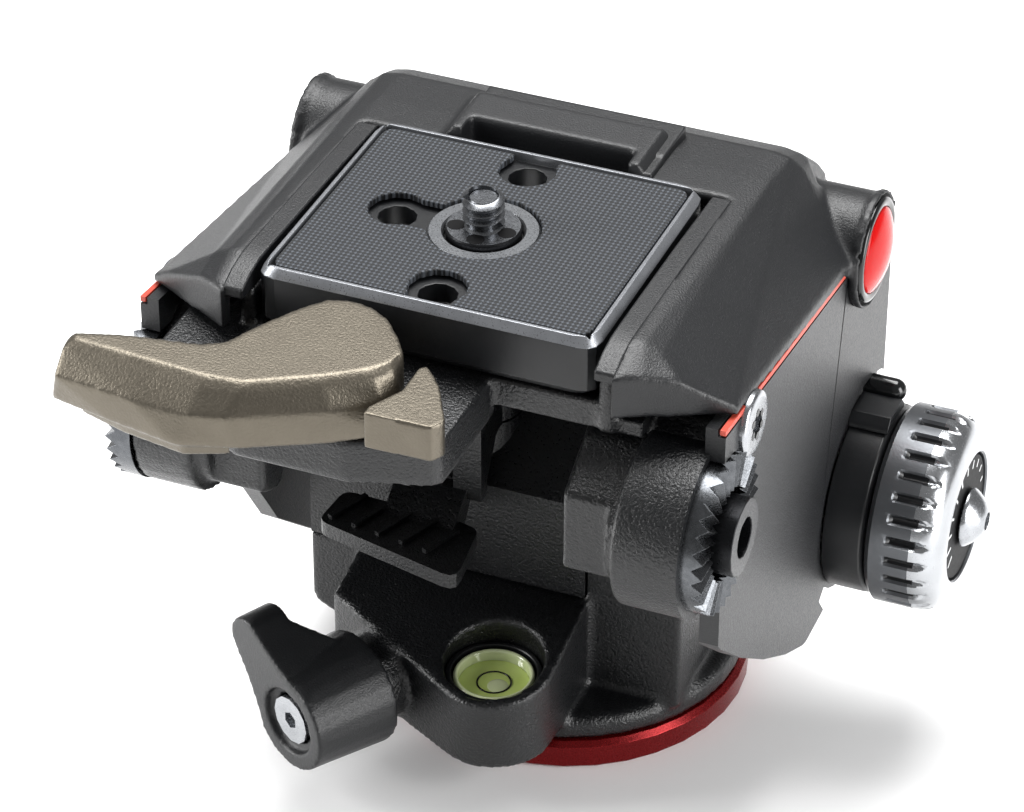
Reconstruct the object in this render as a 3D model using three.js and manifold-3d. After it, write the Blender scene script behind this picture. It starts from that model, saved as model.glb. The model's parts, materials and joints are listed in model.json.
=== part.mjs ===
// Two-way photo head: a fixed base disc, a panning housing with the tilt drum, and a tilting platform
// that hangs on two cheeks, holds the quick release plate and carries the drag selector knob.
// Millimetres, +Z up. The origin is the centre of the base's underside, on the pan axis.
// +X is the right side, where the selector knob is. +Y points to the front, where the lens looks.
import * as THREE from 'three';
import { mergeVertices } from 'three/addons/utils/BufferGeometryUtils.js';
import Module from 'manifold-3d';

const wasm = await Module();
wasm.setup();

// Shared fits and overruns
const seatGap = 0.3;
const shaftGap = 0.3;
const slideGap = 0.4;
const cutOver = 1;
const roundSides = 24;
const largeSides = 36;
const hiddenSides = 12;
const smallSides = 12;
const hubSides = 16;
const cornerSteps = 3;
const arcSteps = 8;
const hexagon = 6;
const notchSides = 4;

// Base disc, its tripod thread and the pan spindle
const base = { radius: 30, height: 5.2, edge: 0.7, topEdge: 0.9 };
const tripodThread = { diameter: 9.525, depth: 13 };
const spindle = { radius: 8, flangeRadius: 12.5, flangeHeight: 2, rootRadius: 7, top: 24.6 };
const baseScrew = { count: 3, circle: 9.9, headRadius: 2.2, headHeight: 1.4, shankRadius: 1.3, bite: 6.6 };
const thrustRing = { inner: 14.5, outer: 27.2, height: 0.8 };

// Half the width over the cheeks, which sets every place along X of the tilting parts, with how far each of
// their faces lies inside or outside the cheeks' outer faces
const halfWidth = 45.5;
const inside = { tower: 7, shaftEnd: 1.3, barrelRoot: 22, barrelStep: 12.5, rearCrease: 13.7,
  frontCrease: 11.3, cornerStart: 15.3, badgeRoot: 10.5, dragEnd: 3.6, leverSeat: 7.5 };
const outside = { shaftEnd: 6.9, rosette: 1.1, hub: 3.2, badge: 1.9, collar: 5.9, knobBack: 6.3,
  knobFront: 18.3, knobBevel: 13.5, notchStart: 9.1, pointer: 5.7, pin: 6.1 };

// Panning housing
const flange = { radius: 29.3, top: 9.5, edge: 1.1, lipGap: 0.35, rim: 1.4 };
const panCavity = { radius: 13.4, floor: 19 };
const panWasher = { radius: 12.4, height: 1 };
const panNut = { acrossCorners: 24, height: 3.4 };
const tower = { left: halfWidth - inside.tower, right: 25.5, split: 9.6, rear: 17, front: 27, top: 26,
  overhang: 12.6, heel: 5.5 };
const wedge = { top: 23.2, slopeShare: 0.2, noseRadius: 9.8, rightX: 10, rootY: 14, leftReach: 12.6 };
const bubble = { x: 0.3, y: -33, cupRadius: 8, vialRadius: 6.5, vialHeight: 3.4, vialTop: 19.9,
  ringWall: 0.7 };

// Tilt axis, above the base and a little to the front of the pan axis
const tiltAxis = { y: 9, z: 40 };
const drum = { radius: 21, wallTop: 4, shoulder: 140 };
const tiltShaft = { radius: 5, left: halfWidth - inside.shaftEnd, right: halfWidth + outside.shaftEnd };
const bush = { wall: 1.8, length: 6 };
const clampDrum = { radius: 12, left: 24, right: 8 };
const clampBand = { wall: 3, slot: 2.6, earHalf: 5.4, earReach: 20.3, earRoot: 13, gap: 0.5 };
const brakeCavity = { gap: 0.8 };
const stopPin = { x: 25.5, height: 4.6, radius: 1.3, reach: 4.4, root: 5 };

// Pan lock, on an axis that points from the pan axis to the rear left
const panLock = { bearing: -118.2, height: 15.5, face: 38.9, bossRadius: 7.2, bossEnd: 42.7 };
const panKnob = { length: 14.9, hubRadius: 8.5, backRadius: 9.6, tipReach: 14.1, tipRadius: 4.1,
  wingTurn: 136, waistTurn: 10, waistShare: 0.25, wingDepth: 6.6, ringRadius: 5.7, ringDepth: 1.3 };
const panStud = { radius: 3, start: 12.2, headRadius: 4.1, headHeight: 2.6, socket: 1.5, socketDepth: 1.1 };
const panPad = { length: 3.3, radius: 3 };

// Tilt lock lever, on top of the drum
const tiltLever = { x: -11.5, y: -17, hubRadius: 6.4, hubBottom: 13.4, hubTop: 18, paddleTop: 1.6,
  paddleBottom: -1, ribLeft: -11.3, ribRight: -6.5, ribTop: 20, ribFront: -21.8, ribRear: -30.6,
  armInner: -28.2, bend: 4, rampLeft: -21, rampRight: -9, rampTop: 5.6, rampSkew: 1.4, rampRear: -36,
  cornerRound: 2 };
const leverPaddle = [[-29.7, -41.6], [-3.7, -47.6], [-5.4, -34.4], [-9.8, -33.4], [-29.1, -32.7]];
const leverRib = { lengths: [8, 11, 11, 10, 7.4], width: 0.9, height: 0.7, pitch: 4.3, lean: 68, x: -28.1,
  y: -40.6, stepBack: 0.65 };
const tiltStud = { radius: 2.6, headRadius: 4.3, headHeight: 1.6, socket: 1.6, socketDepth: 1.1, low: -6 };

// Tilting platform, measured from the tilt axis
const plate = { rear: 67.1, top: 65, bottom: 55, width: 52.4, length: 45, corner: 3, foot: 1.4,
  footInset: 1.2, lip: 0.8, lipDrop: 1.4, padRoom: 1.6, padInset: 0.6, holeRadius: 2.9, holeInset: 12.5,
  holeEnd: 5.5, wall: 3, deck: 4.8 };
const pad = { thickness: 1.1, gap: 0.35, cutRadius: 8.5, neckHalf: 3.6, holeCut: 4.4, corner: 2 };
const cameraScrew = { radius: 3.1, threadRoot: 2.65, turns: 5, rise: 5, flangeRadius: 5.6,
  flangeHeight: 1.8, proud: 0.6, slotWidth: 1.7, slotDepth: 0.9, endTaper: 0.6, keyRadius: 4.6,
  keyHeight: 1.6, keySlot: 1.6 };
const screwClip = { radius: 5.2, height: 0.7, opening: 4.4 };
const carrier = { bottom: 50, top: 54.6, halfWidth: 29, rear: 66, front: -6, corner: 4, lipWall: 2.4,
  lipTop: 60.5, window: 17 };
const rosette = { behind: 65.7, above: 36.8, face: halfWidth + outside.rosette, radius: 12, inner: 7.1,
  teeth: 30, depth: 1.7 };
const barrel = { inner: halfWidth - inside.barrelRoot, step: halfWidth - inside.barrelStep, radius: 11.9,
  innerRadius: 10.1, notchDepth: 3.2, notchWidth: 7.5, notchHeight: 14, webRear: 70.3, webFront: 56.5,
  innerTop: 52.4, outerTop: 53.6 };
const knobPass = { radius: 71.4, left: 38.4, right: 23, front: 44, deckLeft: 30, deckRight: 12,
  grooveInner: 50.5, grooveOuter: 61.9, grooveDepth: 1.4, deck: [[-31.2, 49], [-34.4, 55.8], [-37.6, 55.8],
  [-43, 53.6], [-49.6, 50.8], [-49.6, 49]] };
const hub = { radius: 5.9, neck: 4.3, outer: halfWidth + outside.hub, hole: 3.05, depth: 9 };
const shell = { half: halfWidth, rear: 70.5, front: 12, wall: 2.6, skirt: 1.2, creaseRound: 3,
  rearCrease: halfWidth - inside.rearCrease, frontCrease: halfWidth - inside.frontCrease, rearEdge: 56.6,
  frontEdge: 47.6, pocketGap: 0.7, cornerFrom: halfWidth - inside.cornerStart, cornerEnd: 61.6 };
const shellCrown = [[-70.5, 62.2], [-63, 64.6], [-14, 63.1], [-5, 62.6], [0, 60.6], [5, 56.6], [9, 52.4],
  [12, 48.6]];
const tab = { half: 15, footHalf: 18.4, rise: 2.3, height: 4.6, front: 7.4, slope: 2.6, slotHalf: 13.4,
  slotWidth: 4, slotDepth: 5 };
const cheek = { wall: 3, recess: 1.1, recessRadius: 20, collarRound: 16.2, front: 11.3, seam: 0.3,
  turnFrom: 46, turnTo: 225 };
const cheekEdge = [[-14, -13.3, 4], [-24, -13.6, 6], [-33.6, -8.6, 6], [-44.5, -1.6, 6], [-55.7, 6.9, 6],
  [-65.1, 15.3, 6], [-70.2, 21.5, 4], [-78.4, 31.5, 7], [-79.2, 42, 7], [-70, 52.6, 4]];
const leftCheekEdge = [[12, 14, 6], [15, -10, 8], [6, -26, 8], [-10, -26.5, 8], [-30, -9.5, 6],
  [-36.4, 0.4], [-51.6, 12.5], [-60.5, 22, 4], [-70.4, 24], [-77.8, 29.5, 4], [-79.2, 42, 7],
  [-70, 52.6, 4]];
const stripe = { height: 0.9, depth: 0.9, front: -13.9, rear: 68 };
const badge = { y: -2.5, z: 47.4, bossRadius: 11.3, bossForward: 0.9, bossRise: 1.3, rimRadius: 9,
  rimDepth: 0.8, domeRadius: 6.9, domeRise: 1.8, crownShare: 0.25, inner: halfWidth - inside.badgeRoot,
  face: halfWidth + outside.badge, recess: 1.2 };
const cheekScrew = { y: -54, z: 48, radius: 3.8, recess: 1, shank: 2.2, length: 6, socket: 1.7,
  bossRadius: 3.9, headHeight: 1.4 };

// Drag selector, on the tilt axis at the right
const collar = { radius: 15.4, end: halfWidth + outside.collar, chamfer: 0.6 };
const selector = { radius: 16.1, back: halfWidth + outside.knobBack, front: halfWidth + outside.knobFront,
  bevelStart: halfWidth + outside.knobBevel, faceRadius: 11.2, backEdge: 0.8, dialRadius: 10.4,
  dialDepth: 1.6, notches: 28, notchStart: halfWidth + outside.notchStart, notchRadius: 1, notchDepth: 0.85,
  bevelShare: 0.72, cavityRadius: 11.8, cavityDepth: 6.5 };
const dial = { thickness: 0.9, bore: 3.4 };
const dome = { radius: 4.8, rise: 3.4, flat: 2, socket: 1.5, socketDepth: 1.1, shank: 2.4, grip: 7 };
const pointer = { width: 8.5, end: halfWidth + outside.pointer, high: 17.4, taper: 1.4, pinRadius: 1.5,
  pinAngle: 66, pinCircle: 18, pinEnd: halfWidth + outside.pin };
const dragUnit = { radius: 13.6, left: tower.right + slideGap + seatGap, right: halfWidth - inside.dragEnd,
  groove: 0.8 };

// Locking lever and its catch, behind the plate's left half
const lockLever = { x: -8.6, behind: 79.6, bottom: 54.6, edge: 60, crease: 63, top: 64, pivotRadius: 2.6,
  pivotHead: 4, headHeight: 2.2, pivotTop: 61.4, pocketRadius: 5.6, pocketHeight: 4.6, socket: 1.6,
  heel: 52.2 };
const leverFront = [[-35.6, -88.1], [-25.5, -86.4], [-22.5, -84.6], [-19.7, -78.5], [-16.3, -72.6],
  [-13.6, -69.3], [-10.6, -68.4], [-7.2, -68.7], [-3.8, -70.6], [-0.6, -74.2], [1.8, -77.8]];
const leverRear = {
  bottom: [[3.2, -82.2], [2.2, -85.4], [-4.5, -90.2], [-15.5, -96], [-24, -98.6], [-34.3, -96.8],
    [-45.2, -94.6], [-46, -91]],
  edge: [[2.8, -81.8], [1.6, -84.8], [-4.2, -89.8], [-16.9, -96.6], [-22, -97.8], [-31, -97.6],
    [-43.6, -96.2], [-45, -90.8]],
  crease: [[1.9, -81.2], [0.2, -84], [-5.8, -88.4], [-15.7, -94.1], [-21.6, -94.6], [-32.7, -93.9],
    [-43.6, -93.2], [-44, -90.7]],
  top: [[0.9, -80.8], [-1, -83.2], [-6.4, -87.2], [-16, -92.8], [-21.8, -93.3], [-32.4, -92.6], [-42.4, -92],
    [-43, -90.4]],
};
const leverHeel = [[-21, -90.4], [-17.4, -95.2], [-23.4, -97.8], [-33.6, -96.2], [-41.6, -93.8],
  [-38.6, -90.4]];
const leverHeelLift = 0.8;
const leverBase = { bottom: 47, round: 4, plan: [[inside.leverSeat - halfWidth, -62], [10, -62], [10, -84],
  [2.5, -86], [-3, -88], [-20, -88], [inside.leverSeat - halfWidth, -80]] };
const lockSpring = { radius: 4.2, wire: 0.5, turns: 3, pitch: 1, steps: 9, sides: 5 };
const catchPlan = [[4.2, -78.6, 1], [5.4, -77.6, 1], [8.8, -81.6, 1], [12.9, -89.2, 1.6],
  [11.6, -91.4, 1.2], [1.4, -91.6, 0.6], [1.8, -89.4, 0.5], [4.3, -84.6, 2]];
const catchPiece = { x: 6.6, behind: 82.2, bottom: 56.8, top: 62.6, pinRadius: 1.2, pinHead: 1.8,
  pinTop: 60.6 };

const materials = {
  redAnodised: new THREE.MeshStandardMaterial({ color: 0x8a1418, roughness: 0.3, metalness: 0.7 }),
  castBlack: new THREE.MeshStandardMaterial({ color: 0x17181a, roughness: 0.62, metalness: 0.3 }),
  mouldedBlack: new THREE.MeshStandardMaterial({ color: 0x26272a, roughness: 0.6, metalness: 0 }),
  satinBlack: new THREE.MeshStandardMaterial({ color: 0x1c1d1f, roughness: 0.4, metalness: 0.4 }),
  rubber: new THREE.MeshStandardMaterial({ color: 0x2a2b2d, roughness: 0.85, metalness: 0 }),
  steel: new THREE.MeshStandardMaterial({ color: 0xb9bbbd, roughness: 0.3, metalness: 1 }),
  blackSteel: new THREE.MeshStandardMaterial({ color: 0x33343a, roughness: 0.35, metalness: 0.9 }),
  brass: new THREE.MeshStandardMaterial({ color: 0xb08d4a, roughness: 0.35, metalness: 1 }),
  champagne: new THREE.MeshStandardMaterial({ color: 0x8d8474, roughness: 0.42, metalness: 0.8 }),
  turnedAluminium: new THREE.MeshStandardMaterial({ color: 0xc3c6ca, roughness: 0.28, metalness: 1 }),
  redEnamel: new THREE.MeshStandardMaterial({ color: 0xd21f1a, roughness: 0.12, metalness: 0 }),
  salmonPaint: new THREE.MeshStandardMaterial({ color: 0xc24a3e, roughness: 0.5, metalness: 0 }),
  vialGreen: new THREE.MeshStandardMaterial({ color: 0xc3dc5a, roughness: 0.1, metalness: 0 }),
};

// Turns a closed three.js geometry into a solid that faces out
function solid(geometry) {
  const bare = geometry.clone();
  bare.deleteAttribute('normal');
  bare.deleteAttribute('uv');
  const merged = mergeVertices(bare);
  const places = merged.attributes.position.array;
  const corners = merged.index.array;
  const faces = [];
  let volume = 0;
  const a = new THREE.Vector3();
  const b = new THREE.Vector3();
  const c = new THREE.Vector3();
  for (let i = 0; i < corners.length; i += 3) {
    const [p, q, r] = [corners[i], corners[i + 1], corners[i + 2]];
    if (p === q || q === r || r === p) continue;
    faces.push([p, q, r]);
    a.fromArray(places, 3 * p);
    b.fromArray(places, 3 * q);
    c.fromArray(places, 3 * r);
    volume += a.dot(b.cross(c));
  }
  const ordered = volume < 0 ? faces.map(([p, q, r]) => [p, r, q]) : faces;
  return new wasm.Manifold(new wasm.Mesh({
    numProp: 3,
    vertProperties: new Float32Array(places),
    triVerts: new Uint32Array(ordered.flat()),
  }));
}

// Gives a solid back as a geometry
function geometryOf(body) {
  const mesh = body.getMesh();
  const geometry = new THREE.BufferGeometry();
  geometry.setAttribute('position', new THREE.BufferAttribute(mesh.vertProperties, 3));
  geometry.setIndex(new THREE.BufferAttribute(mesh.triVerts, 1));
  geometry.computeVertexNormals();
  return geometry;
}

const joined = (first, ...others) => others.reduce((sum, next) => sum.add(next), first);
const cutBy = (first, ...others) => others.reduce((rest, next) => rest.subtract(next), first);
const common = (first, ...others) => others.reduce((rest, next) => rest.intersect(next), first);
const degrees = (angle) => THREE.MathUtils.degToRad(angle);

// A profile of radius and height pairs, turned about Z
function turned(profile, sides = roundSides) {
  const points = [...profile, profile[0]].map(([radius, height]) => new THREE.Vector2(radius, height));
  return new THREE.LatheGeometry(points, sides).rotateX(Math.PI / 2);
}

// The same profile, turned about X: height runs along X
function turnedX(profile, sides = roundSides) {
  return turned(profile, sides).rotateY(Math.PI / 2);
}

// A round bar between two points
function rod(radius, start, end, sides = smallSides, endRadius = radius) {
  const from = new THREE.Vector3(...start);
  const along = new THREE.Vector3(...end).sub(from);
  const bar = new THREE.CylinderGeometry(endRadius, radius, along.length(), sides);
  bar.translate(0, along.length() / 2, 0);
  const turn = new THREE.Quaternion().setFromUnitVectors(new THREE.Vector3(0, 1, 0),
    along.clone().normalize());
  return bar.applyQuaternion(turn).translate(from.x, from.y, from.z);
}

// A box given by its lowest and highest corners
function block(low, high) {
  const size = high.map((value, axis) => value - low[axis]);
  const middle = high.map((value, axis) => (value + low[axis]) / 2);
  return new THREE.BoxGeometry(...size).translate(...middle);
}

// A closed outline whose corners, given as [across, up, rounding], are rounded
function outline(corners, mirrored = false) {
  const shape = new THREE.Shape();
  const count = corners.length;
  const at = (i) => new THREE.Vector2(corners[(i + count) % count][0], corners[(i + count) % count][1]);
  for (let i = 0; i < count; i += 1) {
    const corner = at(i);
    const rounding = corners[i][2] ?? 0;
    if (rounding === 0) {
      if (i === 0) shape.moveTo(corner.x, corner.y);
      else shape.lineTo(corner.x, corner.y);
      continue;
    }
    const before = at(i - 1).sub(corner);
    const after = at(i + 1).sub(corner);
    const half = Math.abs(before.angleTo(after)) / 2;
    const reach = Math.min(rounding / Math.tan(half), before.length() / 2, after.length() / 2);
    const enter = corner.clone().add(before.setLength(reach));
    const leave = corner.clone().add(after.setLength(reach));
    if (i === 0) shape.moveTo(enter.x, enter.y);
    else shape.lineTo(enter.x, enter.y);
    shape.quadraticCurveTo(corner.x, corner.y, leave.x, leave.y);
  }
  shape.closePath();
  if (!mirrored) return shape;
  return new THREE.Shape(shape.getPoints(cornerSteps).map((point) => new THREE.Vector2(-point.x, point.y)));
}

// An outline in X and Y, raised along Z
function raised(shape, bottom, top, steps = cornerSteps) {
  return new THREE.ExtrudeGeometry(shape, { depth: top - bottom, bevelEnabled: false, curveSegments: steps })
    .translate(0, 0, bottom);
}

// An outline in Y and Z, run along X
function across(shape, left, right, steps = cornerSteps) {
  const run = new THREE.ExtrudeGeometry(shape,
    { depth: right - left, bevelEnabled: false, curveSegments: steps });
  const turn = new THREE.Matrix4().makeBasis(
    new THREE.Vector3(0, 1, 0), new THREE.Vector3(0, 0, 1), new THREE.Vector3(1, 0, 0));
  return run.applyMatrix4(turn).translate(left, 0, 0);
}

// Rings with equal point counts, skinned one to the next and closed at both ends
function skinned(given) {
  const flatOf = (ring) => ring.map((point) => new THREE.Vector2(point.x, point.z));
  const backwards = THREE.ShapeUtils.isClockWise(flatOf(given[0]));
  const rings = backwards ? given.map((ring) => [...ring].reverse()) : given;
  const count = rings[0].length;
  const places = rings.flat().flatMap((point) => [point.x, point.y, point.z]);
  const faces = [];
  for (let ring = 0; ring + 1 < rings.length; ring += 1) {
    for (let i = 0; i < count; i += 1) {
      const next = (i + 1) % count;
      const [p, q] = [ring * count + i, ring * count + next];
      faces.push(p, q, q + count, p, q + count, p + count);
    }
  }
  const last = (rings.length - 1) * count;
  for (const [p, q, r] of THREE.ShapeUtils.triangulateShape(flatOf(rings[0]), [])) faces.push(p, r, q);
  for (const [p, q, r] of THREE.ShapeUtils.triangulateShape(flatOf(rings.at(-1)), [])) {
    faces.push(last + p, last + q, last + r);
  }
  const geometry = new THREE.BufferGeometry();
  geometry.setAttribute('position', new THREE.Float32BufferAttribute(places, 3));
  geometry.setIndex(faces);
  return geometry;
}

// The scene: what pans is in one group, and what tilts is in a group at the tilt axis inside it
const head = new THREE.Group();
const panning = new THREE.Group();
const tilting = new THREE.Group();
tilting.position.set(0, tiltAxis.y, tiltAxis.z);
panning.add(tilting);
head.add(panning);

function add(group, name, body, material) {
  const mesh = new THREE.Mesh(body.isBufferGeometry ? body : geometryOf(body), material);
  mesh.name = name;
  group.add(mesh);
  return mesh;
}

// Base disc, spindle and pan bearing
const spindleRoot = spindle.rootRadius + seatGap;
const spindleFlangeBottom = base.height + seatGap;
const spindleFlangeTop = spindleFlangeBottom + spindle.flangeHeight;
const baseScrewPlaces = Array.from({ length: baseScrew.count }, (_, i) => {
  const angle = Math.PI / 2 + (2 * Math.PI * i) / baseScrew.count;
  return [baseScrew.circle * Math.cos(angle), baseScrew.circle * Math.sin(angle)];
});

function baseDisc() {
  const disc = solid(turned([
    [spindleRoot, 0], [base.radius - base.edge, 0], [base.radius, base.edge],
    [base.radius, base.height - base.topEdge], [base.radius - base.topEdge, base.height],
    [spindleRoot, base.height],
  ], largeSides));
  const holes = baseScrewPlaces.flatMap(([x, y]) => [
    solid(rod(baseScrew.shankRadius + seatGap, [x, y, -cutOver], [x, y, base.height + cutOver])),
    solid(rod(baseScrew.headRadius + seatGap, [x, y, -cutOver], [x, y, baseScrew.headHeight + 2 * seatGap])),
  ]);
  return cutBy(disc, ...holes);
}

function panSpindle() {
  const threadRadius = tripodThread.diameter / 2;
  const post = solid(turned([
    [0, tripodThread.depth], [threadRadius, tripodThread.depth], [threadRadius, seatGap],
    [spindle.rootRadius, seatGap], [spindle.rootRadius, spindleFlangeBottom],
    [spindle.flangeRadius, spindleFlangeBottom], [spindle.flangeRadius, spindleFlangeTop],
    [spindle.radius, spindleFlangeTop], [spindle.radius, spindle.top], [0, spindle.top],
  ], hiddenSides));
  const holes = baseScrewPlaces.map(([x, y]) =>
    solid(rod(baseScrew.shankRadius + seatGap, [x, y, 0], [x, y, spindleFlangeTop + cutOver])));
  return cutBy(post, ...holes);
}

function baseScrewSolid() {
  const headTop = seatGap + baseScrew.headHeight;
  return turned([
    [0, seatGap], [baseScrew.headRadius, seatGap], [baseScrew.headRadius, headTop],
    [baseScrew.shankRadius, headTop], [baseScrew.shankRadius, baseScrew.bite], [0, baseScrew.bite],
  ], smallSides);
}

const thrustBottom = base.height + seatGap;
const washerBottom = panCavity.floor + seatGap;
const nutBottom = washerBottom + panWasher.height + seatGap;
add(head, 'base_disc', baseDisc(), materials.redAnodised);
add(head, 'pan_spindle', panSpindle(), materials.steel);
baseScrewPlaces.forEach(([x, y], i) => {
  add(head, `base_screw_${i + 1}`, baseScrewSolid(), materials.blackSteel).position.set(x, y, 0);
});
add(head, 'pan_thrust_ring', turned([
  [thrustRing.inner, thrustBottom], [thrustRing.outer, thrustBottom],
  [thrustRing.outer, thrustBottom + thrustRing.height], [thrustRing.inner, thrustBottom + thrustRing.height],
], hiddenSides), materials.brass);
add(head, 'pan_spring_washer', turned([
  [spindle.radius + seatGap, washerBottom], [panWasher.radius, washerBottom],
  [panWasher.radius, washerBottom + panWasher.height],
  [spindle.radius + seatGap, washerBottom + panWasher.height],
], hiddenSides), materials.blackSteel);
add(head, 'pan_nut', cutBy(
  solid(rod(panNut.acrossCorners / 2, [0, 0, nutBottom], [0, 0, nutBottom + panNut.height], hexagon)),
  solid(rod(spindle.radius + seatGap, [0, 0, 0], [0, 0, tower.top])),
), materials.steel);

// Panning housing: flange, level wedge, foot block and right upright in one casting
const lockTurn = degrees(panLock.bearing);
const lockAxis = new THREE.Vector3(Math.cos(lockTurn), Math.sin(lockTurn), 0);
const lockSide = new THREE.Vector3(-Math.sin(lockTurn), Math.cos(lockTurn), 0);
const onLockAxis = (distance) => [lockAxis.x * distance, lockAxis.y * distance, panLock.height];

const brakeRadius = clampDrum.radius + clampBand.gap + clampBand.wall + brakeCavity.gap;
const brakeLeft = -clampDrum.left - brakeCavity.gap;
const brakeRight = -clampDrum.right + brakeCavity.gap;

// The drum's outline about the tilt axis: a flat rear wall that rolls over the top to the front
function drumOutline(bottom) {
  const shape = new THREE.Shape();
  const rear = -tower.rear - tiltAxis.y;
  const front = tower.front - tiltAxis.y;
  shape.moveTo(rear, bottom);
  shape.lineTo(front, bottom);
  shape.lineTo(front, Math.sqrt(drum.radius ** 2 - front ** 2));
  shape.absarc(0, 0, drum.radius, Math.acos(front / drum.radius), degrees(drum.shoulder));
  shape.lineTo(rear, drum.wallTop);
  shape.closePath();
  return shape;
}

function wedgeOutline() {
  const shape = new THREE.Shape();
  const root = -wedge.rootY;
  const start = lockAxis.clone().multiplyScalar(panLock.face).addScaledVector(lockSide, -wedge.leftReach);
  shape.moveTo(start.x, root);
  shape.lineTo(start.x, start.y);
  shape.absarc(bubble.x, bubble.y, wedge.noseRadius, lockTurn, 0);
  shape.lineTo(wedge.rightX, root);
  shape.closePath();
  return shape;
}

// The wedge's top falls to the rear, and its height is given over the level's centre
const wedgeTop = (along) => wedge.top + wedge.slopeShare * (along - bubble.y);

function wedgeSlope() {
  const rear = bubble.y - wedge.noseRadius - cutOver;
  return outline([[rear, 0], [0, 0], [0, wedgeTop(0)], [rear, wedgeTop(rear)]]);
}

function panHousing() {
  const underside = base.height + flange.lipGap;
  const ringSeat = thrustBottom + thrustRing.height + seatGap;
  const disc = solid(turned([
    [spindle.radius + shaftGap, spindleFlangeTop + seatGap],
    [spindle.flangeRadius + seatGap, spindleFlangeTop + seatGap],
    [spindle.flangeRadius + seatGap, ringSeat], [flange.radius - flange.rim, ringSeat],
    [flange.radius - flange.rim, underside], [flange.radius, underside],
    [flange.radius, flange.top - flange.edge], [flange.radius - flange.edge, flange.top],
    [spindle.radius + shaftGap, flange.top],
  ], largeSides));
  const footOutline = outline([
    [-tower.left, tower.top], [-tower.left, tower.overhang, 2], [-tower.left + tower.heel,
      flange.top + seatGap, 2],
    [-tower.left + 2 * tower.heel, flange.top - flange.edge], [tower.right, flange.top - flange.edge],
    [tower.right, tower.top],
  ]);
  const foot = solid(new THREE.ExtrudeGeometry(footOutline, {
    depth: tower.front + tower.rear, bevelEnabled: false, curveSegments: cornerSteps,
  }).rotateX(Math.PI / 2).translate(0, tower.front, 0));
  const upright = solid(across(drumOutline(flange.top - flange.edge - tiltAxis.z), tower.split, tower.right,
    arcSteps).translate(0, tiltAxis.y, tiltAxis.z));
  const level = common(
    solid(raised(wedgeOutline(), flange.top - flange.edge, tower.top, arcSteps)),
    solid(across(wedgeSlope(), -tower.left - panLock.face, tower.right)),
  );
  const boss = solid(rod(panLock.bossRadius, onLockAxis(panLock.face - cutOver),
    onLockAxis(panLock.bossEnd)));
  const body = joined(disc, foot, upright, level, boss);
  return cutBy(
    body,
    solid(rod(spindle.radius + shaftGap, [0, 0, 0], [0, 0, panCavity.floor + cutOver], roundSides)),
    solid(rod(panCavity.radius, [0, 0, panCavity.floor], [0, 0, tower.top + cutOver], roundSides)),
    solid(rod(panStud.radius + shaftGap, onLockAxis(0), onLockAxis(panLock.bossEnd + cutOver))),
    solid(rod(bubble.cupRadius, [bubble.x, bubble.y, bubble.vialTop - bubble.vialHeight - seatGap],
      [bubble.x, bubble.y, wedgeTop(0)], roundSides)),
    solid(rod(tiltShaft.radius + bush.wall + seatGap, [tower.split - cutOver, tiltAxis.y, tiltAxis.z],
      [tower.right + cutOver, tiltAxis.y, tiltAxis.z], roundSides)),
    solid(rod(brakeRadius, [-tower.left - cutOver, tiltAxis.y, tiltAxis.z],
      [brakeRight, tiltAxis.y, tiltAxis.z],
      roundSides)),
  );
}

// The smooth drum that holds the tilt brake, seated on the foot block
const housingRight = tower.split - seatGap;
const bushRadius = tiltShaft.radius + shaftGap + bush.wall;
const wallRear = -tower.rear - tiltAxis.y;

function tiltHousing() {
  const boss = solid(rod(tiltLever.hubRadius, [tiltLever.x, tiltLever.y, 0],
    [tiltLever.x, tiltLever.y, tiltLever.hubBottom - slideGap], roundSides));
  const body = solid(across(drumOutline(tower.top + seatGap - tiltAxis.z), -tower.left, housingRight,
    arcSteps));
  const ears = clampBand.earReach + brakeCavity.gap;
  const earTop = clampBand.earHalf + brakeCavity.gap;
  return cutBy(
    body.add(boss),
    solid(rod(bushRadius + seatGap, [brakeRight - cutOver, 0, 0], [housingRight + cutOver, 0, 0],
      roundSides)),
    solid(rod(tiltLever.hubRadius + slideGap, [tiltLever.x, tiltLever.y, tiltLever.hubBottom - slideGap],
      [tiltLever.x, tiltLever.y, drum.radius + cutOver], roundSides)),
    solid(rod(brakeRadius, [-tower.left - cutOver, 0, 0], [brakeRight, 0, 0], roundSides)),
    solid(block([brakeLeft, -ears, -earTop], [brakeRight, 0, earTop])),
    solid(rod(tiltStud.radius + shaftGap, [tiltLever.x, tiltLever.y, 0],
      [tiltLever.x, tiltLever.y, drum.radius + cutOver])),
    solid(rod(stopPin.radius + seatGap, [-stopPin.x, wallRear - cutOver, stopPin.height],
      [-stopPin.x, wallRear + stopPin.root, stopPin.height])),
  );
}

function endBush(left, right) {
  const inner = tiltShaft.radius + shaftGap;
  return turnedX([[inner, left], [bushRadius, left], [bushRadius, right], [inner, right]], smallSides);
}

// The band grips the shaft's drum when the stud draws its ears together
function clampBandSolid() {
  const inner = clampDrum.radius + clampBand.gap;
  const left = -clampDrum.left + clampBand.gap;
  const right = -clampDrum.right - clampBand.gap;
  const ring = solid(turnedX([
    [inner, left], [inner + clampBand.wall, left], [inner + clampBand.wall, right], [inner, right],
  ], hiddenSides));
  const ears = solid(block([left, -clampBand.earReach, -clampBand.earHalf],
    [right, -clampBand.earRoot, clampBand.earHalf]));
  return cutBy(
    ring.add(ears),
    solid(rod(inner, [left - cutOver, 0, 0], [right + cutOver, 0, 0], hiddenSides)),
    solid(block([left - cutOver, -clampBand.earReach - cutOver, -clampBand.slot / 2],
      [right + cutOver, 0, clampBand.slot / 2])),
    solid(rod(tiltStud.radius + shaftGap, [tiltLever.x, tiltLever.y, -drum.radius],
      [tiltLever.x, tiltLever.y, drum.radius])),
  );
}

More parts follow.
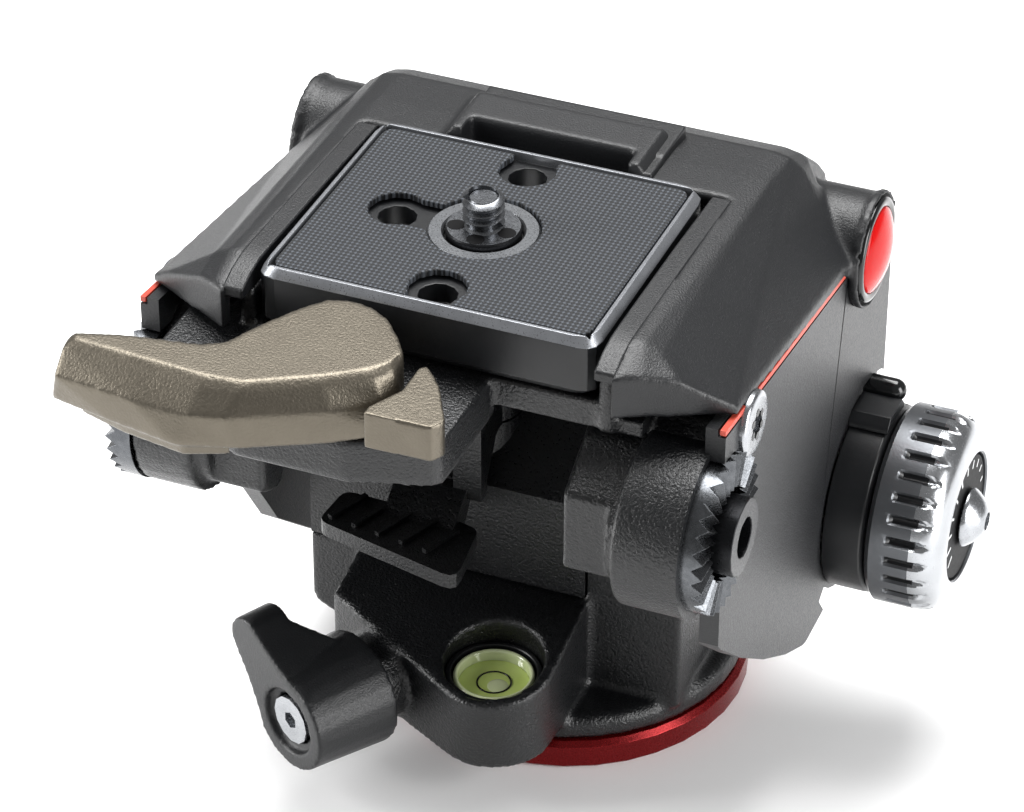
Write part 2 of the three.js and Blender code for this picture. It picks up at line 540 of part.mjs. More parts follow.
// What stays with the housing while the platform tilts, in a group on the tilt axis
const drumGroup = new THREE.Group();
drumGroup.position.copy(tilting.position);
panning.add(drumGroup);
add(panning, 'pan_housing', panHousing(), materials.castBlack);
add(drumGroup, 'tilt_housing', tiltHousing(), materials.mouldedBlack);
add(drumGroup, 'left_tilt_bush', endBush(housingRight - seatGap - bush.length, housingRight - seatGap),
  materials.brass);
add(drumGroup, 'right_tilt_bush', endBush(tower.right - bush.length, tower.right), materials.brass);
add(drumGroup, 'tilt_clamp_band', clampBandSolid(), materials.steel);
add(drumGroup, 'lever_stop_pin', solid(rod(stopPin.radius,
  [-stopPin.x, wallRear + stopPin.root - seatGap, stopPin.height],
  [-stopPin.x, wallRear - stopPin.reach, stopPin.height])).add(
  solid(new THREE.SphereGeometry(stopPin.radius, smallSides, smallSides / 2)
    .translate(-stopPin.x, wallRear - stopPin.reach, stopPin.height))), materials.blackSteel);

// Bubble level in the wedge
const vialBottom = bubble.vialTop - bubble.vialHeight;
add(panning, 'bubble_ring', turned([
  [bubble.vialRadius + seatGap, vialBottom], [bubble.cupRadius - seatGap, vialBottom],
  [bubble.cupRadius - seatGap, bubble.vialTop + bubble.ringWall],
  [bubble.vialRadius + seatGap, bubble.vialTop + bubble.ringWall],
], hiddenSides).translate(bubble.x, bubble.y, 0), materials.mouldedBlack);
add(panning, 'bubble_vial', turned([
  [0, vialBottom], [bubble.vialRadius, vialBottom], [bubble.vialRadius, bubble.vialTop - bubble.ringWall],
  [bubble.vialRadius - bubble.ringWall, bubble.vialTop], [0, bubble.vialTop + bubble.ringWall / 2],
], hiddenSides).translate(bubble.x, bubble.y, 0), materials.vialGreen);

// Pan lock: a wing knob on a stud that presses a pad against the spindle
const lockGroup = new THREE.Group();
lockGroup.position.set(0, 0, panLock.height);
lockGroup.rotation.z = lockTurn;
panning.add(lockGroup);
const knobBack = panLock.bossEnd + slideGap;
const knobFront = knobBack + panKnob.length;

function wingOutline() {
  const shape = new THREE.Shape();
  const lean = Math.acos((panKnob.hubRadius - panKnob.tipRadius) / panKnob.tipReach);
  const waist = panKnob.tipReach / 2;
  const waistHalf = (panKnob.hubRadius + panKnob.tipRadius) / 2 - panKnob.waistShare * panKnob.tipRadius;
  const hubTurn = lean + degrees(panKnob.waistTurn);
  shape.absarc(0, 0, panKnob.hubRadius, hubTurn, 2 * Math.PI - hubTurn);
  shape.quadraticCurveTo(waist, -waistHalf, panKnob.tipReach + panKnob.tipRadius * Math.cos(lean),
    -panKnob.tipRadius * Math.sin(lean));
  shape.absarc(panKnob.tipReach, 0, panKnob.tipRadius, -lean, lean);
  shape.quadraticCurveTo(waist, waistHalf, panKnob.hubRadius * Math.cos(hubTurn),
    panKnob.hubRadius * Math.sin(hubTurn));
  return shape;
}

function panLockKnob() {
  const reach = panKnob.tipReach + panKnob.tipRadius + cutOver;
  const wing = solid(across(wingOutline(), knobBack, knobFront, arcSteps));
  const depthOutline = outline([
    [knobBack - cutOver, -reach], [knobFront + cutOver, -reach], [knobFront + cutOver, reach],
    [knobFront - panKnob.wingDepth, reach], [knobFront - panKnob.wingDepth, panKnob.tipReach],
    [knobBack, panKnob.tipRadius], [knobBack - cutOver, 0],
  ]);
  const tapered = common(wing, solid(raised(depthOutline, -reach, reach)));
  const hub = solid(turnedX([
    [0, knobBack], [panKnob.backRadius, knobBack], [panKnob.backRadius, knobBack + cutOver],
    [panKnob.hubRadius, knobFront - cutOver], [0, knobFront - cutOver],
  ], roundSides));
  const seat = knobFront - panKnob.ringDepth;
  const body = cutBy(
    tapered.add(hub),
    solid(rod(panKnob.ringRadius, [seat, 0, 0], [knobFront + cutOver, 0, 0], roundSides)),
    solid(rod(panStud.radius + seatGap, [knobBack - cutOver, 0, 0], [knobFront, 0, 0])),
    solid(rod(panStud.headRadius + seatGap, [seat - panStud.headHeight, 0, 0], [knobFront, 0, 0])),
  );
  return body.rotate([panKnob.wingTurn, 0, 0]);
}

const studHeadEnd = knobFront - panKnob.ringDepth + panKnob.ringDepth / 2;
add(lockGroup, 'pan_lock_knob', panLockKnob(), materials.mouldedBlack);
add(lockGroup, 'pan_lock_stud', cutBy(
  solid(rod(panStud.radius, [panStud.start, 0, 0], [studHeadEnd, 0, 0])).add(
    solid(rod(panStud.headRadius, [studHeadEnd - panStud.headHeight, 0, 0], [studHeadEnd, 0, 0]))),
  solid(rod(panStud.socket, [studHeadEnd - panStud.socketDepth, 0, 0], [studHeadEnd + cutOver, 0, 0],
    hexagon)),
), materials.steel);
const padStart = spindle.radius + seatGap;
add(lockGroup, 'pan_lock_pad', rod(panPad.radius, [padStart, 0, 0], [padStart + panPad.length, 0, 0]),
  materials.brass);

// Tilt lock lever: a hub on the drum, an arm down its rear wall and a ribbed paddle
const leverGroup = new THREE.Group();
drumGroup.add(leverGroup);
const onLever = (z) => [tiltLever.x, tiltLever.y, z];

function tiltLockLever() {
  const { armInner, bend, ribFront, ribRear, rampRear, rampTop, paddleBottom, paddleTop,
    cornerRound } = tiltLever;
  const rib = solid(across(outline([
    [ribFront, tiltLever.ribTop], [ribFront, tiltLever.hubBottom],
    [armInner + bend, tiltLever.hubBottom, cornerRound],
    [armInner, tiltLever.hubBottom / 2, cornerRound], [armInner, bend], [ribRear, bend],
    [ribRear, tiltLever.ribTop, cornerRound],
  ]), tiltLever.ribLeft, tiltLever.ribRight));
  const ramp = common(
    solid(across(outline([
      [armInner, rampTop], [ribRear, rampTop], [rampRear, paddleTop], [rampRear, paddleBottom],
      [rampRear + bend, paddleBottom], [armInner, bend],
    ]), tiltLever.rampLeft, tiltLever.rampRight)),
    solid(raised(outline([
      [tiltLever.rampLeft, rampRear], [tiltLever.rampRight, rampRear], [tiltLever.rampRight, armInner],
      [tiltLever.rampLeft, armInner - tiltLever.rampSkew],
    ]), paddleBottom, rampTop)),
  );
  const paddle = solid(raised(outline(leverPaddle.map(([x, y]) => [x, y, cornerRound])), paddleBottom,
    paddleTop));
  const hub = solid(rod(tiltLever.hubRadius, onLever(tiltLever.hubBottom), onLever(tiltLever.hubTop),
    roundSides));
  const ribs = leverRib.lengths.map((length, i) => solid(
    block([0, -leverRib.width / 2, paddleTop - cutOver],
      [length, leverRib.width / 2, paddleTop + leverRib.height])
      .rotateZ(degrees(leverRib.lean))
      .translate(leverRib.x + i * leverRib.pitch, leverRib.y - i * leverRib.stepBack, 0)));
  return cutBy(
    joined(hub, rib, ramp, paddle, ...ribs),
    solid(rod(tiltStud.radius + seatGap, onLever(0), onLever(tiltLever.hubTop + cutOver))),
  );
}

const tiltStudTop = tiltLever.hubTop + seatGap + tiltStud.headHeight;
add(leverGroup, 'tilt_lock_lever', tiltLockLever(), materials.castBlack);
add(leverGroup, 'tilt_lock_stud', cutBy(
  solid(rod(tiltStud.radius, onLever(tiltStud.low), onLever(tiltStudTop))).add(
    solid(rod(tiltStud.headRadius, onLever(tiltLever.hubTop + seatGap), onLever(tiltStudTop)))),
  solid(rod(tiltStud.socket, onLever(tiltStudTop - tiltStud.socketDepth), onLever(tiltStudTop + cutOver),
    hexagon)),
), materials.steel);

// Tilt shaft with the drum that the band grips
add(tilting, 'tilt_shaft', turnedX([
  [0, -tiltShaft.left], [tiltShaft.radius, -tiltShaft.left], [tiltShaft.radius, -clampDrum.left],
  [clampDrum.radius, -clampDrum.left], [clampDrum.radius, -clampDrum.right],
  [tiltShaft.radius, -clampDrum.right], [tiltShaft.radius, tiltShaft.right], [0, tiltShaft.right],
], hiddenSides), materials.steel);
add(tilting, 'drag_cartridge', turnedX([
  [tiltShaft.radius + seatGap, dragUnit.left], [dragUnit.radius - dragUnit.groove, dragUnit.left],
  [dragUnit.radius, dragUnit.left + dragUnit.groove], [dragUnit.radius, dragUnit.right],
  [tiltShaft.radius + seatGap, dragUnit.right],
], hiddenSides), materials.satinBlack);

// Platform casting under the plate, with the two barrels for the handle rosettes
const mix = THREE.MathUtils.lerp;
const plateRear = -plate.rear;
const plateFront = plateRear + plate.length;
const plateMiddle = (plateRear + plateFront) / 2;
const sideWallInner = plate.width / 2 + slideGap;
const sideWallOuter = sideWallInner + carrier.lipWall;
const barrelEnd = shell.half - cheek.wall - seatGap;
const onBarrel = (x) => [x, -rosette.behind, rosette.above];
const onScrew = (x) => [x, cheekScrew.y, cheekScrew.z];
const onBoss = (x) => [x, badge.y + badge.bossForward, badge.z + badge.bossRise];
const onPivot = (z) => [lockLever.x, -lockLever.behind, z];
const onCatch = (z) => [catchPiece.x, -catchPiece.behind, z];
const mirrored = (body) => body.mirror([1, 0, 0]);

// A barrel seen along X: a round underside whose flanks run up to the web's top
function barrelOutline(radius, top) {
  const flank = (along, turn) => {
    const reach = new THREE.Vector2(along + rosette.behind, top - rosette.above);
    return reach.angle() + turn * Math.acos(radius / reach.length());
  };
  const shape = new THREE.Shape();
  shape.moveTo(-barrel.webRear, top);
  shape.absarc(-rosette.behind, rosette.above, radius, flank(-barrel.webRear, 1),
    flank(-barrel.webFront, -1) + 2 * Math.PI);
  shape.lineTo(-barrel.webFront, top);
  shape.closePath();
  return shape;
}

function carrierHalf() {
  const outer = solid(across(barrelOutline(barrel.radius, barrel.outerTop), barrel.step, barrelEnd,
    arcSteps));
  const inner = solid(across(barrelOutline(barrel.innerRadius, barrel.innerTop), barrel.inner,
    barrel.step + cutOver, arcSteps));
  const wall = solid(block([sideWallInner, plateRear, carrier.bottom],
    [sideWallOuter, plateFront, carrier.lipTop]));
  const boss = solid(rod(cheekScrew.bossRadius, onScrew(barrel.step), onScrew(barrelEnd))).add(
    solid(block([barrel.step, -barrel.webFront - cheekScrew.bossRadius, cheekScrew.z - cheekScrew.bossRadius],
      [barrelEnd, cheekScrew.y, cheekScrew.z + cheekScrew.bossRadius])));
  const notch = solid(block(
    [barrel.inner - cutOver, -rosette.behind - barrel.innerRadius - cutOver,
      rosette.above - barrel.notchHeight / 2],
    [barrel.inner + barrel.notchWidth, -rosette.behind - barrel.innerRadius + barrel.notchDepth,
      rosette.above + barrel.notchHeight / 2]));
  return cutBy(
    joined(outer, inner, wall, boss), notch,
    solid(rod(hub.neck + seatGap, onBarrel(barrelEnd - hub.depth), onBarrel(barrelEnd + cutOver))),
    solid(rod(cheekScrew.shank + seatGap, onScrew(shell.half - cheekScrew.length - seatGap),
      onScrew(shell.half), smallSides)),
  );
}

// Room for the pan lock's knob when the platform tips back: a scoop in the left barrel, a window in the deck
function knobRoom() {
  const scoop = common(
    solid(rod(knobPass.radius, [-knobPass.left, 0, 0], [-knobPass.right, 0, 0], largeSides)),
    solid(block([-knobPass.left, -carrier.rear, 0], [-knobPass.right, -knobPass.front, carrier.bottom])),
  );
  return scoop.add(solid(across(outline(knobPass.deck), -knobPass.deckLeft, -knobPass.deckRight)));
}

function platformCarrier() {
  const deck = solid(raised(outline([
    [-carrier.halfWidth, -carrier.rear], [carrier.halfWidth, -carrier.rear],
    [carrier.halfWidth, carrier.front, carrier.corner], [-carrier.halfWidth, carrier.front, carrier.corner],
  ]), carrier.bottom, carrier.top));
  const seat = solid(raised(outline(leverBase.plan.map(([x, y]) => [x, y, leverBase.round])),
    leverBase.bottom,
    lockLever.bottom - slideGap));
  const strip = solid(block([-barrel.step, -carrier.rear, carrier.bottom],
    [barrel.step, -barrel.webFront, barrel.innerTop]));
  const bossRoom = solid(rod(badge.bossRadius + slideGap, onBoss(badge.inner - slideGap), onBoss(badge.face),
    largeSides));
  return cutBy(
    joined(cutBy(deck, bossRoom, mirrored(bossRoom)), strip, seat, carrierHalf(),
      mirrored(carrierHalf())), knobRoom(),
    solid(rod(carrier.window, [0, plateMiddle, 0], [0, plateMiddle, carrier.top + cutOver], roundSides)),
    solid(rod(lockLever.pivotRadius + seatGap, onPivot(0), onPivot(lockLever.bottom))),
    solid(rod(lockLever.pivotHead + seatGap, onPivot(0),
      onPivot(leverBase.bottom + lockLever.headHeight + seatGap),
      roundSides)),
    solid(rod(catchPiece.pinRadius + seatGap, onCatch(leverBase.bottom + cutOver),
      onCatch(lockLever.bottom))),
  );
}

// Moulded top shell: a crowned cover with sloped wings, a raised tab and two badge bosses
const shellShare = (along) => (along + shell.rear) / (shell.front + shell.rear);
const edgeAt = (along) => mix(shell.rearEdge, shell.frontEdge, shellShare(along));

function shellRing([along, crown], inset, low) {
  const edge = new THREE.Vector2(shell.half - inset, edgeAt(along) - inset);
  const crease = new THREE.Vector2(
    mix(shell.rearCrease, shell.frontCrease, shellShare(along)) - inset / 2, crown - inset);
  const slope = edge.clone().sub(crease).setLength(shell.creaseRound).add(crease);
  const flat = new THREE.Vector2(crease.x - shell.creaseRound, crease.y);
  const bend = new THREE.QuadraticBezierCurve(slope, crease, flat).getPoints(cornerSteps - 1);
  const half = [new THREE.Vector2(edge.x, edgeAt(along) - low), edge, ...bend];
  const place = shellShare(along) * (shell.front + shell.rear - 2 * inset) - shell.rear + inset;
  const right = half.map((point) => new THREE.Vector3(point.x, place, point.y));
  const left = half.map((point) => new THREE.Vector3(-point.x, place, point.y)).reverse();
  return [...right, ...left];
}

function crownAt(along) {
  const next = shellCrown.findIndex(([place]) => place >= along);
  const [[rear, low], [front, high]] = [shellCrown[next - 1], shellCrown[next]];
  return THREE.MathUtils.mapLinear(along, rear, front, low, high);
}

// What is cut off each rear corner of the shell: its rear face runs forward to the outer edge
function rearCorner(inset) {
  const outerEnd = shell.half + cutOver;
  const lean = (shell.rear - shell.cornerEnd) / (shell.half - shell.cornerFrom);
  const along = (x) => -shell.rear + inset + lean * (x - shell.cornerFrom);
  return solid(raised(outline([
    [shell.cornerFrom, -shell.rear - cutOver], [outerEnd, -shell.rear - cutOver], [outerEnd, along(outerEnd)],
    [shell.cornerFrom, along(shell.cornerFrom)],
  ]), 0, plate.top));
}

function topShell() {
  const outer = solid(skinned(shellCrown.map((station) => shellRing(station, 0, shell.skirt))));
  const inner = solid(skinned(shellCrown.map((station) =>
    shellRing(station, shell.wall, shell.skirt + shell.wall + cutOver))));
  const cover = cutBy(cutBy(outer, rearCorner(0), mirrored(rearCorner(0))),
    cutBy(inner, rearCorner(shell.wall), mirrored(rearCorner(shell.wall))));
  const tabRear = plateFront + shell.pocketGap;
  const tabTop = crownAt(tabRear) + tab.rise;
  const tabFoot = tabTop - tab.height;
  const ridge = solid(skinned([[tabRear, 0], [-tab.front - tab.slope, 0], [-tab.front, tab.slope]].map(
    ([along, drop]) => [
      [-tab.footHalf, tabFoot], [tab.footHalf, tabFoot], [tab.half, tabTop - drop], [-tab.half,
        tabTop - drop],
    ].map(([x, z]) => new THREE.Vector3(x, along, z)))));
  const boss = solid(rod(badge.bossRadius, onBoss(badge.inner), onBoss(badge.face), largeSides));
  const pit = solid(rod(badge.rimRadius + seatGap, [badge.face - badge.recess - seatGap, badge.y, badge.z],
    [badge.face + cutOver, badge.y, badge.z], roundSides));
  const pocket = sideWallOuter + shell.pocketGap;
  return cutBy(
    joined(cover, ridge, boss, mirrored(boss)),
    pit, mirrored(pit),
    solid(block([-pocket, -shell.rear - cutOver, 0], [pocket, tabRear, tabTop + cutOver])),
    solid(block([-tab.slotHalf, tabRear - cutOver, tabTop - tab.slotDepth],
      [tab.slotHalf, tabRear + tab.slotWidth, tabTop + cutOver])),
  );
}

// Cheek: the side plate from the stripe line down to the tilt shaft, which reaches lower on the left
const seam = shell.skirt + cheek.seam;
const cheekTop = [[-stripe.rear, edgeAt(-stripe.rear) - seam], [cheek.front, edgeAt(cheek.front) - seam]];
const leftCheekShape = new THREE.Shape(outline([...cheekTop,
  ...leftCheekEdge]).getPoints(cornerSteps).slice(1));

function rightCheekShape() {
  const shape = new THREE.Shape();
  shape.moveTo(...cheekTop[0]);
  shape.lineTo(...cheekTop[1]);
  shape.absarc(0, 0, cheek.collarRound, degrees(cheek.turnFrom), degrees(cheek.turnTo - 360), true);
  const lower = outline([cheekTop[0], [0, 0], ...cheekEdge]).getPoints(cornerSteps).slice(2, -1);
  lower.forEach((point) => shape.lineTo(point.x, point.y));
  shape.closePath();
  return shape;
}

function stripeOutline(grow) {
  const low = seam + stripe.height + grow;
  return outline([
    [-stripe.rear - grow, edgeAt(-stripe.rear) - low], [stripe.front + grow, edgeAt(stripe.front) - low],
    [stripe.front + grow, edgeAt(stripe.front) - seam + grow],
    [-stripe.rear - grow, edgeAt(-stripe.rear) - seam + grow],
  ]);
}

function cheekSolid(shape) {
  const inner = shell.half - cheek.wall;
  return cutBy(
    solid(across(shape, inner, shell.half, arcSteps)),
    solid(rod(tiltShaft.radius + seatGap, [inner - cutOver, 0, 0], [shell.half + cutOver, 0, 0])),
    solid(rod(rosette.radius + seatGap, onBarrel(inner - cutOver), onBarrel(shell.half + cutOver),
      roundSides)),
    solid(rod(cheekScrew.radius + seatGap, onScrew(shell.half - cheekScrew.recess - seatGap),
      onScrew(shell.half + cutOver))),
    solid(rod(cheekScrew.shank + seatGap, onScrew(inner - cutOver), onScrew(shell.half))),
    solid(rod(badge.bossRadius + seatGap, onBoss(inner - cutOver), onBoss(shell.half + cutOver), largeSides)),
    solid(across(stripeOutline(seatGap), shell.half - stripe.depth - seatGap, shell.half + cutOver)),
  );
}

// Rosette: a ring of radial teeth that locks the handle's angle
function rosetteGeometry() {
  const places = [];
  const faces = [];
  const steps = 2 * rosette.teeth;
  const bottom = barrelEnd + seatGap;
  for (let i = 0; i < steps; i += 1) {
    const angle = (2 * Math.PI * i) / steps;
    const drop = i % 2 === 0 ? 0 : rosette.depth;
    const [cos, sin] = [Math.cos(angle), Math.sin(angle)];
    const innerFace = rosette.face - (drop * rosette.inner) / rosette.radius;
    const corners = [
      [rosette.inner, bottom], [rosette.radius, bottom], [rosette.radius, rosette.face - drop],
      [rosette.inner, innerFace],
    ];
    corners.forEach(([radius, x]) => places.push(x, radius * cos - rosette.behind,
      radius * sin + rosette.above));
    for (let side = 0; side < corners.length; side += 1) {
      const [p, q] = [corners.length * i + side, corners.length * i + ((side + 1) % corners.length)];
      const [r, t] = [p, q].map((index) => (index + corners.length) % (corners.length * steps));
      faces.push(p, q, t, p, t, r);
    }
  }
  const geometry = new THREE.BufferGeometry();
  geometry.setAttribute('position', new THREE.Float32BufferAttribute(places, 3));
  geometry.setIndex(faces);
  return geometry;
}

function rosetteHub() {
  const start = barrelEnd + seatGap;
  const profile = [
    [hub.hole, barrelEnd - hub.depth + seatGap], [hub.neck, barrelEnd - hub.depth + seatGap], [hub.neck,
      start],
    [hub.radius, start], [hub.radius, hub.outer], [hub.hole, hub.outer],
  ];
  return solid(turnedX(profile, hubSides).translate(0, -rosette.behind, rosette.above));
}

function badgeSolid() {
  const back = badge.face - badge.recess;
  return solid(turnedX([
    [0, back], [badge.rimRadius, back], [badge.rimRadius, badge.face - badge.rimDepth / 2],
    [badge.rimRadius - badge.rimDepth, badge.face], [badge.domeRadius, badge.face],
    [badge.domeRadius / Math.SQRT2, badge.face + badge.domeRise / Math.SQRT2],
    [badge.crownShare * badge.domeRadius, badge.face + badge.domeRise], [0, badge.face + badge.domeRise],
  ]).translate(0, badge.y, badge.z));
}

function cheekScrewSolid() {
  const seat = shell.half - cheekScrew.recess;
  return cutBy(
    solid(rod(cheekScrew.radius, onScrew(seat), onScrew(seat + cheekScrew.headHeight), roundSides)).add(
      solid(rod(cheekScrew.shank, onScrew(shell.half - cheekScrew.length), onScrew(seat + seatGap)))),
    solid(rod(cheekScrew.socket, onScrew(seat + cheekScrew.headHeight / 2),
      onScrew(seat + cheekScrew.headHeight + cutOver), hexagon)),
  );
}

add(tilting, 'platform_carrier', platformCarrier(), materials.castBlack);
add(tilting, 'top_shell', topShell(), materials.mouldedBlack);
const grooveStart = shell.half - cheek.wall - cutOver;
const grooveEnd = shell.half - cheek.wall + knobPass.grooveDepth;
const wingGroove = solid(turnedX([
  [knobPass.grooveInner, grooveStart], [knobPass.grooveOuter, grooveStart],
  [knobPass.grooveOuter, grooveEnd], [knobPass.grooveInner, grooveEnd],
], largeSides));
const collarRecess = solid(rod(cheek.recessRadius, [shell.half - cheek.recess, 0, 0],
  [shell.half + cutOver, 0, 0],
  roundSides));
const rightCheek = cutBy(cheekSolid(rightCheekShape()), collarRecess);
const leftCheek = mirrored(cutBy(cheekSolid(leftCheekShape), wingGroove));
for (const [side, cheekBody, place] of [['right', rightCheek, (body) => body],
  ['left', leftCheek, mirrored]]) {
  add(tilting, `${side}_cheek`, cheekBody, materials.mouldedBlack);
  add(tilting, `${side}_stripe`,
    place(solid(across(stripeOutline(0), shell.half - stripe.depth, shell.half))),
    materials.salmonPaint);
  add(tilting, `${side}_rosette`, place(solid(rosetteGeometry())), materials.steel);
  add(tilting, `${side}_rosette_hub`, place(rosetteHub()), materials.blackSteel);
  add(tilting, `${side}_badge`, place(badgeSolid()), materials.redEnamel);
  add(tilting, `${side}_cheek_screw`, place(cheekScrewSolid()), materials.steel);
}

// Drag selector: fixed collar and pointer on the cheek, and the knob that turns on the shaft's end
const collarStart = shell.half - cheek.recess + seatGap;
add(tilting, 'drag_collar', turnedX([
  [tiltShaft.radius + seatGap, collarStart], [collar.radius, collarStart],
  [collar.radius, collar.end - collar.chamfer], [collar.radius - collar.chamfer, collar.end],
  [tiltShaft.radius + seatGap, collar.end],
]), materials.satinBlack);
const pointerOutline = outline([
  [-pointer.width / 2, 0], [pointer.width / 2, 0], [pointer.width / 2, pointer.high - pointer.taper,
    pointer.taper],
  [pointer.width / 2 - pointer.taper, pointer.high], [-pointer.width / 2 + pointer.taper, pointer.high],
  [-pointer.width / 2, pointer.high - pointer.taper, pointer.taper],
]);
add(tilting, 'drag_pointer', cutBy(
  solid(across(pointerOutline, collarStart, pointer.end)),
  solid(rod(collar.radius + seatGap, [0, 0, 0], [pointer.end + cutOver, 0, 0], roundSides)),
), materials.satinBlack);
const pinTurn = degrees(pointer.pinAngle);
const onPin = (x) => [x, pointer.pinCircle * Math.cos(pinTurn), pointer.pinCircle * Math.sin(pinTurn)];
add(tilting, 'selector_stop_pin', rod(pointer.pinRadius, onPin(collarStart), onPin(pointer.pinEnd)),
  materials.blackSteel);

const selecting = new THREE.Group();
tilting.add(selecting);

function dragKnob() {
  const body = solid(turnedX([
    [0, selector.back], [selector.radius - selector.backEdge, selector.back],
    [selector.radius, selector.back + selector.backEdge], [selector.radius, selector.bevelStart],
    [mix(selector.faceRadius, selector.radius, selector.bevelShare),
      mix(selector.bevelStart, selector.front, selector.bevelShare)],
    [selector.faceRadius, selector.front], [0, selector.front],
  ], largeSides));
  const notches = Array.from({ length: selector.notches }, (_, i) => {
    const angle = (2 * Math.PI * i) / selector.notches;
    const reach = selector.radius + selector.notchRadius - selector.notchDepth;
    const at = (x) => [x, reach * Math.cos(angle), reach * Math.sin(angle)];
    return solid(rod(selector.notchRadius, at(selector.notchStart), at(selector.front), notchSides));
  });
  return cutBy(
    body, ...notches,
    solid(rod(selector.dialRadius, [selector.front - selector.dialDepth, 0, 0],
      [selector.front + cutOver, 0, 0],
      roundSides)),
    solid(rod(selector.cavityRadius, [selector.back - cutOver, 0, 0],
      [selector.back + selector.cavityDepth, 0, 0], roundSides)),
    solid(rod(dome.shank + seatGap, [selector.back, 0, 0], [selector.front + cutOver, 0, 0])),
  );
}

function dragDial() {
  const back = selector.front - selector.dialDepth + seatGap;
  return turnedX([
    [dial.bore, back], [selector.dialRadius - seatGap, back], [selector.dialRadius - seatGap,
      back + dial.thickness],
    [dial.bore, back + dial.thickness],
  ], roundSides);
}

function dragScrew() {
  const seat = selector.front - selector.dialDepth + 2 * seatGap + dial.thickness;
  const peak = seat + dome.rise;
  return cutBy(
    solid(turnedX([
      [0, seat - dome.grip], [dome.shank, seat - dome.grip], [dome.shank, seat], [dome.radius, seat],
      [dome.radius, seat + dome.rise / 2], [dome.flat, peak], [0, peak],
    ])),
    solid(rod(dome.socket, [peak - dome.socketDepth, 0, 0], [peak + cutOver, 0, 0], hexagon)),
  );
}

add(selecting, 'drag_knob', dragKnob(), materials.turnedAluminium);
add(selecting, 'drag_dial', dragDial(), materials.satinBlack);
add(selecting, 'drag_knob_screw', dragScrew(), materials.steel);

// Locking lever with its pivot and spring, and the safety catch
const lockPivot = new THREE.Group();
tilting.add(lockPivot);

function lofted(levels) {
  return skinned(levels.map(([height, points]) =>
    points.map(([x, y]) => new THREE.Vector3(x, height, -y)))).rotateX(Math.PI / 2);
}

function lockingLever() {
  const body = solid(lofted(['bottom', 'edge', 'crease', 'top'].map((level) =>
    [lockLever[level], [...leverFront, ...leverRear[level]]])));
  const heel = solid(lofted([
    [lockLever.heel, leverHeel.map(([x, y]) => [x, y + leverHeelLift])], [lockLever.bottom + cutOver,
      leverHeel],
  ]));
  return cutBy(
    body.add(heel),
    solid(rod(lockLever.pocketRadius, onPivot(0), onPivot(lockLever.bottom + lockLever.pocketHeight),
      roundSides)),
    solid(rod(lockLever.pivotRadius + shaftGap, onPivot(0), onPivot(lockLever.pivotTop + shaftGap))),
  );
}

function springCoil() {
  const { radius, wire, turns, pitch, steps, sides } = lockSpring;
  const count = turns * steps;
  const places = [];
  const faces = [];
  for (let i = 0; i <= count; i += 1) {
    const angle = (2 * Math.PI * i) / steps;
    for (let j = 0; j < sides; j += 1) {
      const lean = (2 * Math.PI * j) / sides;
      const reach = radius + wire * Math.cos(lean);
      const height = (pitch * i) / steps + wire * Math.sin(lean);
      places.push(reach * Math.cos(angle), reach * Math.sin(angle), height);
      if (i === count) continue;
      const [p, q] = [i * sides + j, i * sides + ((j + 1) % sides)];
      faces.push(p, p + sides, q + sides, p, q + sides, q);
    }
  }
  for (let j = 1; j + 1 < sides; j += 1) {
    faces.push(0, j, j + 1);
    faces.push(count * sides, count * sides + j + 1, count * sides + j);
  }
  const geometry = new THREE.BufferGeometry();
  geometry.setAttribute('position', new THREE.Float32BufferAttribute(places, 3));
  geometry.setIndex(faces);
  return geometry.translate(lockLever.x, -lockLever.behind, lockLever.bottom - slideGap + seatGap + wire);
}

function pivotScrew() {
  return cutBy(
    solid(rod(lockLever.pivotRadius, onPivot(leverBase.bottom), onPivot(lockLever.pivotTop))).add(
      solid(rod(lockLever.pivotHead, onPivot(leverBase.bottom),
        onPivot(leverBase.bottom + lockLever.headHeight),
        roundSides))),
    solid(rod(lockLever.socket, onPivot(leverBase.bottom - cutOver),
      onPivot(leverBase.bottom + lockLever.headHeight / 2), hexagon)),
  );
}

add(lockPivot, 'locking_lever', lockingLever(), materials.champagne);
add(tilting, 'lever_pivot_screw', pivotScrew(), materials.blackSteel);
add(tilting, 'lever_spring', solid(springCoil()), materials.steel);

const catchGroup = new THREE.Group();
tilting.add(catchGroup);
add(catchGroup, 'safety_catch', cutBy(
  solid(raised(outline(catchPlan), catchPiece.bottom, catchPiece.top)),
  solid(rod(catchPiece.pinRadius + shaftGap, onCatch(0), onCatch(catchPiece.pinTop + shaftGap))),
), materials.champagne);
add(tilting, 'catch_pin', solid(rod(catchPiece.pinRadius, onCatch(leverBase.bottom + 2 * cutOver),
  onCatch(catchPiece.pinTop))).add(
  solid(rod(catchPiece.pinHead, onCatch(lockLever.bottom - seatGap / 2),
    onCatch(catchPiece.bottom - seatGap)))),
materials.blackSteel);

// Quick release plate with its rubber pad and captive camera screw
const plateGroup = new THREE.Group();
plateGroup.position.set(0, plateMiddle, 0);
tilting.add(plateGroup);
const holeSide = plate.width / 2 - plate.holeInset;
const holeAlong = plate.length / 2 - plate.holeEnd;
const screwHoles = [[-holeSide, 0], [0, -holeAlong], [0, holeAlong]];
const padBottom = plate.top - plate.padRoom;
const underTop = plate.top - plate.deck;
const screwTop = plate.top + cameraScrew.rise;

function plateLevel(inset) {
  const [x, y] = [plate.width / 2 - inset, plate.length / 2 - inset];
  return outline([[-x, -y], [x, -y], [x, y], [-x, y]].map((corner) => [...corner, plate.corner]))
    .getPoints(cornerSteps).slice(0, -1).map((point) => [point.x, point.y]);
}

